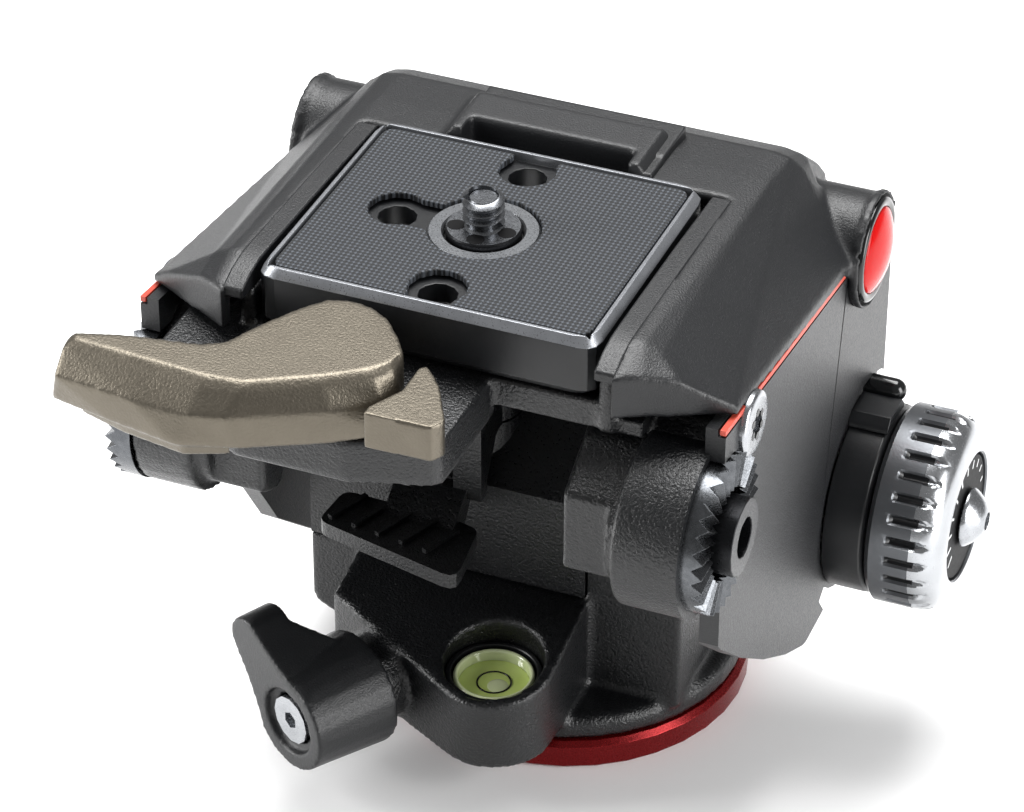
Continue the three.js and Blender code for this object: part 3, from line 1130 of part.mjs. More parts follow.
function plateSolid() {
  const body = solid(lofted([
    [plate.bottom, plateLevel(plate.footInset)], [plate.bottom + plate.foot, plateLevel(0)],
    [plate.top - plate.lipDrop, plateLevel(0)], [plate.top, plateLevel(plate.lip)],
  ]));
  const inset = plate.padInset + plate.lip;
  const [roomX, roomY] = [plate.width / 2 - inset, plate.length / 2 - inset];
  const under = plate.wall + plate.footInset;
  const [underX, underY] = [plate.width / 2 - under, plate.length / 2 - under];
  const shaftHoles = screwHoles.map(([x, y]) =>
    solid(rod(plate.holeRadius, [x, y, plate.bottom - cutOver], [x, y, plate.top + cutOver])));
  return cutBy(
    body, ...shaftHoles,
    solid(block([-roomX, -roomY, padBottom], [roomX, roomY, plate.top + cutOver])),
    solid(block([-underX, -underY, plate.bottom - cutOver],
      [underX, underY, underTop])),
    solid(rod(cameraScrew.flangeRadius + seatGap, [0, 0, plate.top - cameraScrew.flangeHeight - seatGap],
      [0, 0, plate.top + cutOver], roundSides)),
    solid(rod(cameraScrew.radius + shaftGap, [0, 0, 0], [0, 0, plate.top])),
  );
}

function rubberPad() {
  const inset = plate.padInset + plate.lip + pad.gap;
  const [x, y] = [plate.width / 2 - inset, plate.length / 2 - inset];
  const [low, high] = [padBottom + seatGap, padBottom + seatGap + pad.thickness];
  const body = solid(raised(outline([[-x, -y], [x, -y], [x, y],
    [-x, y]].map((corner) => [...corner, pad.corner])), low,
    high));
  const neck = (start, end) => solid(block([...start, low - cutOver], [...end, high + cutOver]));
  return cutBy(
    body,
    solid(rod(pad.cutRadius, [0, 0, 0], [0, 0, high + cutOver], roundSides)),
    ...screwHoles.map(([u, v]) => solid(rod(pad.holeCut, [u, v, 0], [u, v, high + cutOver]))),
    neck([-holeSide, -pad.neckHalf], [0, pad.neckHalf]),
    neck([-pad.neckHalf, -plate.length / 2], [pad.neckHalf, -holeAlong]),
    neck([-pad.neckHalf, holeAlong], [pad.neckHalf, plate.length / 2]),
  );
}

function cameraScrewSolid() {
  const flangeTop = plate.top - plate.padRoom + pad.thickness + cameraScrew.proud;
  const pitch = (screwTop - cameraScrew.endTaper - flangeTop) / cameraScrew.turns;
  const thread = Array.from({ length: cameraScrew.turns }, (_, i) => [
    [cameraScrew.threadRoot, flangeTop + i * pitch], [cameraScrew.radius, flangeTop + (i + 1 / 2) * pitch],
  ]).flat();
  const keyTop = underTop - screwClip.height - 2 * seatGap;
  const body = solid(turned([
    [0, keyTop - cameraScrew.keyHeight], [cameraScrew.keyRadius, keyTop - cameraScrew.keyHeight],
    [cameraScrew.keyRadius, keyTop], [cameraScrew.threadRoot, keyTop],
    [cameraScrew.threadRoot, plate.top - cameraScrew.flangeHeight],
    [cameraScrew.flangeRadius, plate.top - cameraScrew.flangeHeight], [cameraScrew.flangeRadius, flangeTop],
    ...thread, [cameraScrew.threadRoot, screwTop - cameraScrew.endTaper],
    [cameraScrew.threadRoot - cameraScrew.endTaper, screwTop], [0, screwTop],
  ], smallSides));
  const half = cameraScrew.slotWidth / 2;
  const reach = cameraScrew.flangeRadius + cutOver;
  return cutBy(
    body,
    solid(block([cameraScrew.radius, -half, flangeTop - cameraScrew.slotDepth],
      [reach, half, flangeTop + cutOver])),
    solid(block([-reach, -half, flangeTop - cameraScrew.slotDepth],
      [-cameraScrew.radius, half, flangeTop + cutOver])),
    solid(block([-reach, -cameraScrew.keySlot / 2, keyTop - cameraScrew.keyHeight - cutOver],
      [reach, cameraScrew.keySlot / 2, keyTop - cameraScrew.keyHeight / 2])),
  );
}

function clipSolid() {
  const bottom = underTop - screwClip.height - seatGap;
  const inner = cameraScrew.threadRoot + seatGap;
  return cutBy(
    solid(rod(screwClip.radius, [0, 0, bottom], [0, 0, bottom + screwClip.height])),
    solid(rod(inner, [0, 0, 0], [0, 0, plate.top])),
    solid(block([0, -screwClip.opening / 2, 0],
      [screwClip.radius + cutOver, screwClip.opening / 2, plate.top])),
  );
}

const screwGroup = new THREE.Group();
plateGroup.add(screwGroup);
add(plateGroup, 'quick_release_plate', plateSolid(), materials.satinBlack);
add(plateGroup, 'rubber_pad', rubberPad(), materials.rubber);
add(plateGroup, 'camera_screw_clip', clipSolid(), materials.blackSteel);
add(screwGroup, 'camera_screw', cameraScrewSolid(), materials.steel);

export default head;
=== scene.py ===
# %% [markdown]
# # A pan and tilt head for a photo tripod
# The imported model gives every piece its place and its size. This lesson gives each piece the finish of the
# real one: cast and painted metal, moulded plastic, turned aluminium, anodised red and a rubber pad.
# Everything is in metres, in the model's own frame: +Z is up, +X is the side of the silver selector knob,
# and +Y is the front, where the lens looks. The camera looks from the rear right.

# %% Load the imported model
import json
from math import atan2, cos, hypot, pi, radians, sin

import bmesh
import bpy
from mathutils import Matrix, Vector

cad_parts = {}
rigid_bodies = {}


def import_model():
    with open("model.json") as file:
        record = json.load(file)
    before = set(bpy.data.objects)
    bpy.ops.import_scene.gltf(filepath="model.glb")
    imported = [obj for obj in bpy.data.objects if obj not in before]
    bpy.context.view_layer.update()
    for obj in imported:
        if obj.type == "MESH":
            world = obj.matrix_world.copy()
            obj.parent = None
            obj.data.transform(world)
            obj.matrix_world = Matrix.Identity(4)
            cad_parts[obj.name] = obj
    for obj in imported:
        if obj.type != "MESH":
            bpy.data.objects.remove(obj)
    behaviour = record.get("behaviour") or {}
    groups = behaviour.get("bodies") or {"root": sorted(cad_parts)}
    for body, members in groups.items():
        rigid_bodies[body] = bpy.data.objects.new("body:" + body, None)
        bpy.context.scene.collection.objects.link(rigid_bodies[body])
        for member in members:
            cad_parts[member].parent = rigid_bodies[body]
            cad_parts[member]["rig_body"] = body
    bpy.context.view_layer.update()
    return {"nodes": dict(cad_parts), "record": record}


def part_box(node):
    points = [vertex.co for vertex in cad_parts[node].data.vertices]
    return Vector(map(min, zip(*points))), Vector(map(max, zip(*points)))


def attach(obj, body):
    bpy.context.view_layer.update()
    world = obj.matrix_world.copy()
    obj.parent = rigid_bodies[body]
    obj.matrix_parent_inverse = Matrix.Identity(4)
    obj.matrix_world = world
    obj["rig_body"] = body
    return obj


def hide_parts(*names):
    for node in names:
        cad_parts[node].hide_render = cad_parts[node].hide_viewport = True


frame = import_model()
scene = bpy.context.scene
slot_of = {entry["node"]: entry["material_slot"] for entry in frame["record"]["subparts"]}

# %% [markdown]
# ## The camera
# The photograph was taken with a long lens, so upright edges stay nearly parallel. The place, the direction
# and the focal length come from solving the photograph's circles and corners. The picture is 1024 by 812
# pixels.

# %% Camera
MILLIMETRE = 0.001
CAMERA_PLACE = (193.73, -497.60, 421.04)
CAMERA_AZIMUTH = 22.28
CAMERA_ELEVATION = 34.78
CAMERA_LENS = 143.17
SENSOR_WIDTH = 36
NEAREST_SEEN = 20
FARTHEST_SEEN = 20000


def mm(value):
    return value * MILLIMETRE


def point(x, y, z):
    return Vector((mm(x), mm(y), mm(z)))


camera_data = bpy.data.cameras.new("photo_camera")
camera_data.sensor_fit = "HORIZONTAL"
camera_data.sensor_width = SENSOR_WIDTH
camera_data.lens = CAMERA_LENS
camera_data.clip_start = mm(NEAREST_SEEN)
camera_data.clip_end = mm(FARTHEST_SEEN)
camera = bpy.data.objects.new("photo_camera", camera_data)
camera.location = point(*CAMERA_PLACE)
camera.rotation_euler = (radians(90 - CAMERA_ELEVATION), 0, radians(CAMERA_AZIMUTH))
scene.collection.objects.link(camera)
scene.camera = camera
print("camera at", [round(v, 3) for v in camera.location])

# %% [markdown]
# ## Small helpers for shapes
# A real casting or moulding has no knife edge, and light catches its small rounds. So a copy of a CAD node
# is merged, smoothed and given narrow rounds by a bevel modifier. Turned pieces come from a profile that is
# spun about an axis. Sizes are written in millimetres, and mm and point turn them to metres.

# %% Shape helpers
ALONG_X = Vector((1, 0, 0))
ALONG_Z = Vector((0, 0, 1))
COPY_SEAM = 0.004
NEW_SEAM = 0.002
FLAT_ANGLE = 0.5
ALL_SMOOTH = 180


def body_of(node):
    return frame["nodes"][node]["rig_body"]


def box_in_mm(node):
    low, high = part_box(node)
    return low / MILLIMETRE, high / MILLIMETRE


def mark_smooth(bm, smooth_angle):
    for face in bm.faces:
        face.smooth = True
    for edge in bm.edges:
        if len(edge.link_faces) == 2:
            edge.smooth = edge.calc_face_angle(0) < radians(smooth_angle)


def piece_from(bm, name, body, materials, smooth_angle=35):
    bmesh.ops.remove_doubles(bm, verts=bm.verts, dist=mm(NEW_SEAM))
    bmesh.ops.recalc_face_normals(bm, faces=bm.faces)
    mark_smooth(bm, smooth_angle)
    mesh = bpy.data.meshes.new(name)
    bm.to_mesh(mesh)
    bm.free()
    piece = bpy.data.objects.new(name, mesh)
    scene.collection.objects.link(piece)
    for material in materials:
        mesh.materials.append(material)
    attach(piece, body)
    return piece


def edge_rounds(piece, width, segments=2, angle=32):
    bevel = piece.modifiers.new("edge_rounds", "BEVEL")
    bevel.width = mm(width)
    bevel.segments = segments
    bevel.limit_method = "ANGLE"
    bevel.angle_limit = radians(angle)
    bevel.harden_normals = True


def merged_copy(node):
    bm = bmesh.new()
    bm.from_mesh(frame["nodes"][node].data)
    bmesh.ops.remove_doubles(bm, verts=bm.verts, dist=mm(COPY_SEAM))
    bmesh.ops.dissolve_limit(bm, angle_limit=radians(FLAT_ANGLE), verts=bm.verts, edges=bm.edges)
    return bm


def dressed(node, material, width, reshape=None):
    """A copy of a CAD node with its finish and its rounds, shown in the node's place."""
    bm = merged_copy(node)
    if reshape:
        reshape(bm)
    piece = piece_from(bm, node + "_finished", body_of(node), [material], 32)
    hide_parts(node)
    if width:
        edge_rounds(piece, width)


def spun(profile, steps=96):
    """A profile of (radius, height) pairs, spun about Z; ends off the axis are joined to a ring."""
    bm = bmesh.new()
    corners = [bm.verts.new(point(radius, 0, height)) for radius, height in profile]
    sides = [bm.edges.new(pair) for pair in zip(corners, corners[1:])]
    if profile[0][0] > 0:
        sides.append(bm.edges.new((corners[-1], corners[0])))
    bmesh.ops.spin(bm, geom=corners + sides, cent=(0, 0, 0), axis=ALONG_Z, dvec=(0, 0, 0), angle=2 * pi,
                   steps=steps, use_merge=True)
    bmesh.ops.remove_doubles(bm, verts=bm.verts, dist=mm(NEW_SEAM))
    return bm


def placed(bm, centre, along=ALONG_Z):
    turn = ALONG_Z.rotation_difference(along).to_matrix().to_4x4()
    bmesh.ops.transform(bm, matrix=Matrix.Translation(centre) @ turn, verts=bm.verts)
    return bm


def turned(name, profile, centre, body, materials, along=ALONG_Z, steps=72, smooth_angle=40):
    """A piece of the given profile, turned about a line through the centre."""
    return piece_from(placed(spun(profile, steps), centre, along), name, body, materials, smooth_angle)


def posts(radius, depth, segments, places):
    """Short round posts about Z, all in one mesh."""
    bm = bmesh.new()
    for place in places:
        made = bmesh.ops.create_cone(bm, cap_ends=True, segments=segments, radius1=mm(radius),
                                     radius2=mm(radius), depth=mm(depth))["verts"]
        bmesh.ops.translate(bm, verts=made, vec=place)
    return bm


def arc(radius, height, size, start, end, steps=6):
    """Points of a round in the profile plane, from the start to the end angle in degrees."""
    angles = [radians(start + (end - start) * i / steps) for i in range(steps + 1)]
    return [(radius + size * cos(a), height + size * sin(a)) for a in angles]


def curve(first, bend, last, steps=8):
    """Points of a smooth bend that leaves the first point and meets the last one."""
    shares = [i / steps for i in range(steps + 1)]
    return [tuple((1 - s) ** 2 * p + 2 * s * (1 - s) * q + s * s * r for p, q, r in zip(first, bend, last))
            for s in shares]


# %% [markdown]
# ## Small helpers for materials
# Colours are written as sRGB hex values, as in a paint program, and one function turns them to the linear
# values that the shader works with. One function adds a node, sets its values and links its inputs.

# %% Material helpers
CLOUD_DETAIL = 3.0
GRAIN_DETAIL = 2.0
GRAIN_ROUGHNESS = 0.6
NOISE_SPAN = (0.3, 0.7)
MIX_COLOUR = 2


def colour(hex_value):
    channels = [int(hex_value[i:i + 2], 16) / 255 for i in (0, 2, 4)]
    linear = [c / 12.92 if c <= 0.04045 else ((c + 0.055) / 1.055) ** 2.4 for c in channels]
    return (*linear, 1)


def node_in(tree, kind, settings=None, **inputs):
    """A new node. An input is named as its socket, with _ for a space, or i and the socket's number."""
    made = tree.nodes.new(kind)
    for name, value in (settings or {}).items():
        setattr(made, name, value)
    for name, value in inputs.items():
        numbered = name[0] == "i" and name[1:].isdigit()
        socket = made.inputs[int(name[1:])] if numbered else made.inputs[name.replace("_", " ")]
        if isinstance(value, bpy.types.NodeSocket):
            tree.links.new(value, socket)
        else:
            socket.default_value = value
    return made


def bare_finish(name, base, roughness, metallic=0.0, **sockets):
    material = bpy.data.materials.new(name)
    material.use_nodes = True
    tree = material.node_tree
    shader = tree.nodes["Principled BSDF"]
    values = {"Base Color": colour(base), "Roughness": roughness, "Metallic": metallic}
    values.update({socket.replace("_", " "): value for socket, value in sockets.items()})
    for socket, value in values.items():
        shader.inputs[socket].default_value = value
    return material, tree, shader


def speckled(tree, shader, place, base, other, size):
    """Clouds of a second colour, whose size is given in millimetres."""
    cloud = node_in(tree, "ShaderNodeTexNoise", Vector=place, Scale=1 / mm(size), Detail=CLOUD_DETAIL)
    blend = node_in(tree, "ShaderNodeMix", {"data_type": "RGBA"}, Factor=cloud.outputs[0],
                    i6=colour(base), i7=colour(other))
    tree.links.new(blend.outputs[MIX_COLOUR], shader.inputs["Base Color"])


def grained(tree, shader, place, size, depth, roughness):
    """A bump whose grain size and depth are in millimetres, with the roughness spread that goes with it."""
    noise = node_in(tree, "ShaderNodeTexNoise", Vector=place, Scale=1 / mm(size), Detail=GRAIN_DETAIL,
                    Roughness=GRAIN_ROUGHNESS)
    bump = node_in(tree, "ShaderNodeBump", Height=noise.outputs[0], Distance=mm(depth), Strength=1.0)
    tree.links.new(bump.outputs["Normal"], shader.inputs["Normal"])
    spread = node_in(tree, "ShaderNodeMapRange", Value=noise.outputs[0], From_Min=NOISE_SPAN[0],
                     From_Max=NOISE_SPAN[1], To_Min=roughness[0], To_Max=roughness[1])
    tree.links.new(spread.outputs[0], shader.inputs["Roughness"])


def finish_of(name, base, other, cloud, grain, depth, roughness, metallic=0.0, **sockets):
    """Base and second colour, cloud size, grain size and depth in millimetres, and the roughness spread."""
    material, tree, shader = bare_finish(name, base, roughness[0], metallic, **sockets)
    place = node_in(tree, "ShaderNodeTexCoord").outputs["Object"]
    speckled(tree, shader, place, base, other, cloud)
    grained(tree, shader, place, grain, depth, roughness)
    return material


# %% [markdown]
# ## Painted castings and mouldings
# The lower body is die-cast aluminium under a rough black powder coat: each grain of the coat catches its
# own small glint, so it sparkles. The shell and the cheeks are moulded in glass-filled nylon from a
# spark-eroded mould, which gives a fine, even and softly grey grain. The plate is painted satin black, and
# its lip is coloured pale grey as a painted highlight. The small black mouldings are glossy, so they show
# sharp reflections.

# %% Black finishes
coat = finish_of("rough_black_powder_coat", "0b0c0d", "121315", 5, 0.45, 0.2, (0.26, 0.4),
                 Specular_IOR_Level=0.5)
nylon = finish_of("glass_filled_nylon", "101113", "161719", 12, 0.3, 0.08, (0.36, 0.48),
                  Specular_IOR_Level=0.5)
satin_black = finish_of("satin_black_paint", "111214", "17181a", 8, 0.3, 0.01, (0.3, 0.42),
                        Specular_IOR_Level=0.45)
# pale grey metallic paint for the plate's lip: a painted highlight
lip_highlight_paint = finish_of("plate_lip_painted_highlight", "74767a", "909296", 3, 0.25, 0.012, (0.25, 0.4), 0.7)
gloss_black = finish_of("gloss_black_moulding", "08090a", "0e0f10", 6, 0.6, 0.004, (0.12, 0.2))
black_finishes = (coat, nylon, satin_black, lip_highlight_paint, gloss_black)
print("black finishes:", ", ".join(finish.name for finish in black_finishes))

# %% [markdown]
# ## Metals
# The plate's lever and its catch are zinc die castings under a sandy bronze-grey metallic paint, which
# glints softly. Small screws are bright zinc plated steel. The rolled teeth and the camera screw are darker
# steel. The hubs are black oxide steel, and the hidden thrust pieces brass. The disc at the foot is turned
# aluminium, anodised dark red. The selector's bevel is bright turned aluminium over a grey anodised side.

# %% Metal finishes
bronze_paint = finish_of("sandy_bronze_paint", "615b51", "6c665b", 5, 0.4, 0.07, (0.32, 0.44), 0.85)
zinc_steel = finish_of("zinc_plated_steel", "b4b6b9", "96989c", 2, 0.4, 0.006, (0.2, 0.3), 1.0)
tooth_steel = finish_of("rolled_tooth_steel", "6c6e71", "46484b", 1.2, 0.3, 0.01, (0.2, 0.34), 1.0)
screw_steel = finish_of("camera_screw_steel", "828487", "6a6c70", 2, 0.3, 0.01, (0.24, 0.34), 1.0)
black_steel = finish_of("black_oxide_steel", "141517", "1d1e21", 4, 0.35, 0.008, (0.25, 0.4), 0.7)
brass = finish_of("machined_brass", "b08d4a", "9a7a3c", 4, 0.5, 0.004, (0.25, 0.38), 1.0)
red_anodised = finish_of("dark_red_anodised", "7c1114", "6a0e11", 9, 0.4, 0.006, (0.2, 0.32), 0.75)
grey_anodised = finish_of("grey_anodised_aluminium", "55575a", "66686b", 4, 0.3, 0.012, (0.28, 0.42), 0.75)
silver_bevel = finish_of("bright_turned_aluminium", "b4b6b9", "a6a8ab", 3, 0.3, 0.006, (0.2, 0.28), 1.0)
satin_metal = finish_of("satin_turned_ring", "8b8d90", "7b7d80", 3, 0.3, 0.008, (0.25, 0.36), 0.9)
metal_finishes = (bronze_paint, zinc_steel, tooth_steel, screw_steel, black_steel, brass, red_anodised,
                  grey_anodised, silver_bevel, satin_metal)
print("metal finishes:", ", ".join(finish.name for finish in metal_finishes))

# %% [markdown]
# ## Enamel, line paint, level fluid and rubber
# The badge is a poured red dome, smooth enough for small clear reflections. The dial is matt black, so its
# ticks stay readable. The line is matt salmon paint. The level's fluid is yellow green in a pale clear cup,
# both under a glossy coat. The pad is black rubber, moulded with crossed rows of small studs about 1.1 mm
# apart, and the rows are drawn from two crossed sine waves in the pad's own plane.

# %% Small finishes
red_enamel = finish_of("poured_red_enamel", "b30d0b", "a80b0a", 8, 2.0, 0.002, (0.1, 0.16),
                       Specular_IOR_Level=0.2)
dial_black = finish_of("matt_black_dial", "0b0b0c", "0f0f10", 3, 0.3, 0.004, (0.5, 0.6),
                       Specular_IOR_Level=0.1)
salmon_line = finish_of("salmon_line_paint", "b4402f", "bd4a38", 6, 0.3, 0.01, (0.4, 0.5))
level_fluid = finish_of("level_fluid", "cde277", "dcec94", 3, 1.0, 0.004, (0.03, 0.06), Coat_Weight=1.0)
clear_cup = finish_of("clear_level_cup", "e4ecc4", "d6e2a8", 2, 1.0, 0.004, (0.03, 0.08), Coat_Weight=1.0)
print_white = finish_of("white_print", "d8d9da", "cfd0d1", 2, 0.3, 0.004, (0.4, 0.5))
STUD_PITCH = 1.1
STUD_DEPTH = 0.22
STUD_SPAN = (-0.35, 0.65)


def studded_rubber():
    material, tree, shader = bare_finish("studded_pad_rubber", "222427", 0.62, Specular_IOR_Level=0.4)
    place = node_in(tree, "ShaderNodeTexCoord").outputs["Object"]
    apart = node_in(tree, "ShaderNodeSeparateXYZ", Vector=place)
    rows = []
    for kind in ("ADD", "SUBTRACT"):
        along = node_in(tree, "ShaderNodeMath", {"operation": kind}, i0=apart.outputs["X"],
                        i1=apart.outputs["Y"])
        phase = node_in(tree, "ShaderNodeMath", {"operation": "MULTIPLY"}, i0=along.outputs[0],
                        i1=2 * pi / mm(STUD_PITCH) / 2 ** 0.5)
        rows.append(node_in(tree, "ShaderNodeMath", {"operation": "SINE"}, i0=phase.outputs[0]))
    studs = node_in(tree, "ShaderNodeMath", {"operation": "MULTIPLY"}, i0=rows[0].outputs[0],
                    i1=rows[1].outputs[0])
    share = node_in(tree, "ShaderNodeMapRange", Value=studs.outputs[0], From_Min=STUD_SPAN[0],
                    From_Max=STUD_SPAN[1])
    bump = node_in(tree, "ShaderNodeBump", Height=share.outputs[0], Distance=mm(STUD_DEPTH), Strength=1.0)
    tree.links.new(bump.outputs["Normal"], shader.inputs["Normal"])
    # stud tops get a lighter grey and the rows between a darker black: painted highlight and painted shade
    blend = node_in(tree, "ShaderNodeMix", {"data_type": "RGBA"}, Factor=share.outputs[0],
                    i6=colour("0e0f11"), i7=colour("4b4f55"))
    tree.links.new(blend.outputs[MIX_COLOUR], shader.inputs["Base Color"])
    return material


pad_rubber = studded_rubber()
finish_by_slot = {
    "red_anodised": red_anodised, "cast_black": coat, "moulded_black": nylon, "satin_black": satin_black,
    "pad_rubber": pad_rubber, "steel": zinc_steel, "black_steel": black_steel, "brass": brass,
    "champagne": bronze_paint, "turned_aluminium": silver_bevel, "red_enamel": red_enamel,
    "salmon_paint": salmon_line, "vial_green": level_fluid,
}
for name, node in frame["nodes"].items():
    node.data.materials.clear()
    node.data.materials.append(finish_by_slot[slot_of[name]])
print("finishes given to material slots:", len(finish_by_slot))

# %% [markdown]
# ## The castings, the mouldings and the steel pieces
# Each of these CAD pieces is copied, smoothed and given its rounds. The widths follow how the piece is
# made: rough painted castings have rounds of nearly half a millimetre, and machined edges hardly any.

# %% Dress the CAD pieces
ROUNDS = {
    coat: {"tilt_housing": 0.4, "tilt_lock_lever": 0.45},
    satin_black: {"drag_collar": 0.25, "drag_pointer": 0.4, "drag_cartridge": 0.2, "tilt_lock_stud": 0.15},
    red_anodised: {"base_disc": 0.25},
    tooth_steel: {"right_rosette": 0.08, "left_rosette": 0.08},
    black_steel: {"right_rosette_hub": 0.2, "left_rosette_hub": 0.2, "catch_pin": 0,
                  "lever_pivot_screw": 0, "lever_stop_pin": 0.2},
    zinc_steel: {"pan_lock_stud": 0.15},
}
for finish, pieces in ROUNDS.items():
    for node, width in pieces.items():
        dressed(node, finish, width)
print("dressed:", sum(len(pieces) for pieces in ROUNDS.values()))

# %% [markdown]
# ## Soft castings and hand pieces
# Castings and hand pieces have broad soft edges everywhere, also where a bevel modifier can't reach. So the
# merged copy is rebuilt on a fine even grid by a remesh modifier and then smoothed a little: more passes
# give softer edges.

# %% Softened pieces
SOFT_PIECES = {
    "locking_lever": (bronze_paint, 0.4, 9),
    "safety_catch": (bronze_paint, 0.3, 3),
    "pan_lock_knob": (nylon, 0.4, 5),
    "platform_carrier": (coat, 0.6, 2),
}
SMOOTH_SHARE = 0.5


def soften(piece, grid, passes):
    remesh = piece.modifiers.new("even_grid", "REMESH")
    remesh.mode = "VOXEL"
    remesh.voxel_size = mm(grid)
    remesh.use_smooth_shade = True
    smooth = piece.modifiers.new("soft_edges", "SMOOTH")
    smooth.factor = SMOOTH_SHARE
    smooth.iterations = passes


def softened(node, material, grid, passes, reshape=None):
    """A copy of a CAD node with its finish and soft edges, shown in the node's place."""
    bm = merged_copy(node)
    if reshape:
        reshape(bm)
    piece = piece_from(bm, node + "_finished", body_of(node), [material], ALL_SMOOTH)
    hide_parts(node)
    soften(piece, grid, passes)


for node, (finish, grid, passes) in SOFT_PIECES.items():
    softened(node, finish, grid, passes)
print("softened:", ", ".join(SOFT_PIECES))

# %% [markdown]
# ## The wedge under the level
# The wedge stands clear of the red disc: its nose ends about 3 mm higher than the flange's foot, so the
# corners there are raised before the casting is softened.

# %% Pan housing
NOSE_FRONT = 29.6
NOSE_FOOT = 8.8


def raise_nose(bm):
    raised = 0
    for corner in bm.verts:
        if hypot(corner.co.x, corner.co.y) > mm(NOSE_FRONT) and corner.co.z < mm(NOSE_FOOT):
            corner.co.z = mm(NOSE_FOOT)
            raised += 1
    print("nose corners raised:", raised)


softened("pan_housing", coat, 0.6, 3, raise_nose)

# %% [markdown]
# ## Shell, cheeks and lines
# On the real head each badge stands on a slim round boss. The solids have it a little larger, so its
# corners are moved onto the slimmer circle and slid along X until they lie on the wing again. The notch in
# each cheek follows. The line along each cheek runs on to the slimmer boss. Behind the toothed rings the
# cheeks end early, so that the handle barrels show, and the lines end with them.

# %% Badge bosses, cheeks and lines
SOLID_BOSS = {"y": 7.4, "z": 88.7, "shell": 11.3, "cheek": 11.6}
SLIM_BOSS = {"y": 6.5, "z": 87.4, "shell": 8.8, "cheek": 9.1}
BOSS_ROOT = 34
BOSS_FIT = 0.09
BOSS_SLIDE = 3
LEANING = 0.2
CHEEK_REAR = -57.2
CHEEK_SLIVER = 0.08
CHEEK_FLAT = 3
LINE = {"end": -4.6, "fit": 0.7, "outside": 44, "above": 85, "reach": 2.5, "slope": 0.11}


def slim_boss(bm, kind):
    """Moves the corners of the solid's boss, or of the notch round it, onto the slim circle."""
    bm.normal_update()
    places = {}
    for corner in bm.verts:
        across = corner.co.y / MILLIMETRE - SOLID_BOSS["y"]
        up = corner.co.z / MILLIMETRE - SOLID_BOSS["z"]
        if abs(corner.co.x) < mm(BOSS_ROOT) or abs(hypot(across, up) - SOLID_BOSS[kind]) > BOSS_FIT:
            continue
        turn = atan2(up, across)
        target = Vector((corner.co.x, mm(SLIM_BOSS["y"] + SLIM_BOSS[kind] * cos(turn)),
                         mm(SLIM_BOSS["z"] + SLIM_BOSS[kind] * sin(turn))))
        normals = [face.normal for face in corner.link_faces if abs(face.normal.x) > LEANING]
        if normals and kind == "shell":
            normal = max(normals, key=lambda n: abs(n.x))
            shift = target - corner.co
            slide = -(normal.y * shift.y + normal.z * shift.z) / normal.x
            target += ALONG_X * max(-mm(BOSS_SLIDE), min(mm(BOSS_SLIDE), slide))
        places[corner] = target
    for corner, place in places.items():
        corner.co = place
    print("boss corners moved:", kind, len(places))


def slim_shell(bm):
    slim_boss(bm, "shell")


def refit_line(bm):
    """Draws the line's front end out to the slim boss and cuts the rear off square."""
    for corner in bm.verts:
        at_end = abs(corner.co.y / MILLIMETRE - LINE["end"]) < LINE["fit"]
        if at_end and abs(corner.co.x) > mm(LINE["outside"]) and corner.co.z > mm(LINE["above"]):
            corner.co.y += mm(LINE["reach"])
            corner.co.z -= mm(LINE["reach"]) * LINE["slope"]
    bmesh.ops.bisect_plane(bm, geom=bm.verts[:] + bm.edges[:] + bm.faces[:], plane_co=point(0, CHEEK_REAR, 0),
                           plane_no=(0, -1, 0), clear_outer=True)
    bmesh.ops.holes_fill(bm, edges=[edge for edge in bm.edges if edge.is_boundary], sides=0)


def slim_cheek(bm):
    slim_boss(bm, "cheek")
    refit_line(bm)
    bmesh.ops.dissolve_degenerate(bm, dist=mm(CHEEK_SLIVER), edges=bm.edges)
    bmesh.ops.dissolve_limit(bm, angle_limit=radians(CHEEK_FLAT), verts=bm.verts, edges=bm.edges)


softened("top_shell", nylon, 0.5, 4, slim_shell)
for side in ("right", "left"):
    dressed(side + "_cheek", nylon, 0.35, slim_cheek)
    dressed(side + "_stripe", salmon_line, 0.1, refit_line)

# %% [markdown]
# ## Shell edges beside the plate
# The shell comes up close to the plate on both sides and leaves only a thin dark gap. Each edge is a slim
# bar that follows the crown of the shell, so a cube is drawn out, divided along its length and its top bent
# to the crown. The crown is given as heights at five places along the head.

# %% Shell edges
EDGE = {"inner": 26.95, "outer": 30.2, "rear": -60.8, "front": -12.6, "bottom": 100.6, "height": 2,
        "parts": 14}
CROWN = ((-61.5, 101.9), (-58.5, 103.4), (-54, 104.3), (-30, 103.9), (-5, 103.0))


def crown_at(along):
    for (start, low), (end, high) in zip(CROWN, CROWN[1:]):
        if start <= along <= end:
            return low + (high - low) * (along - start) / (end - start)
    raise ValueError("the crown's table ends before " + str(along))


shell_body = body_of("top_shell")
bar_length = EDGE["front"] - EDGE["rear"]
bar_middle = EDGE["bottom"] + EDGE["height"] / 2
for side, sign in (("right", 1), ("left", -1)):
    bm = bmesh.new()
    bmesh.ops.create_cube(bm, size=1)
    bmesh.ops.scale(bm, vec=point(EDGE["outer"] - EDGE["inner"], bar_length, EDGE["height"]), verts=bm.verts)
    bmesh.ops.translate(bm, vec=point(sign * (EDGE["inner"] + EDGE["outer"]) / 2,
                                      (EDGE["front"] + EDGE["rear"]) / 2, bar_middle), verts=bm.verts)
    long_edges = [edge for edge in bm.edges if edge.calc_length() > mm(bar_length / 2)]
    bmesh.ops.subdivide_edges(bm, edges=long_edges, cuts=EDGE["parts"], use_grid_fill=True)
    for corner in bm.verts:
        if corner.co.z > mm(bar_middle):
            corner.co.z = mm(crown_at(corner.co.y / MILLIMETRE))
    edge_piece = piece_from(bm, side + "_shell_edge", shell_body, [nylon], 50)
    edge_rounds(edge_piece, 0.4, 3, 40)
print("shell edges:", round(bar_length, 1), "mm long")

# %% [markdown]
# ## The raised tab
# In front of the slot the shell carries a low raised tab with one wide and one narrow arm that run back
# beside the slot. Three overlapping blocks are melted into one soft moulded form by the same remesh.

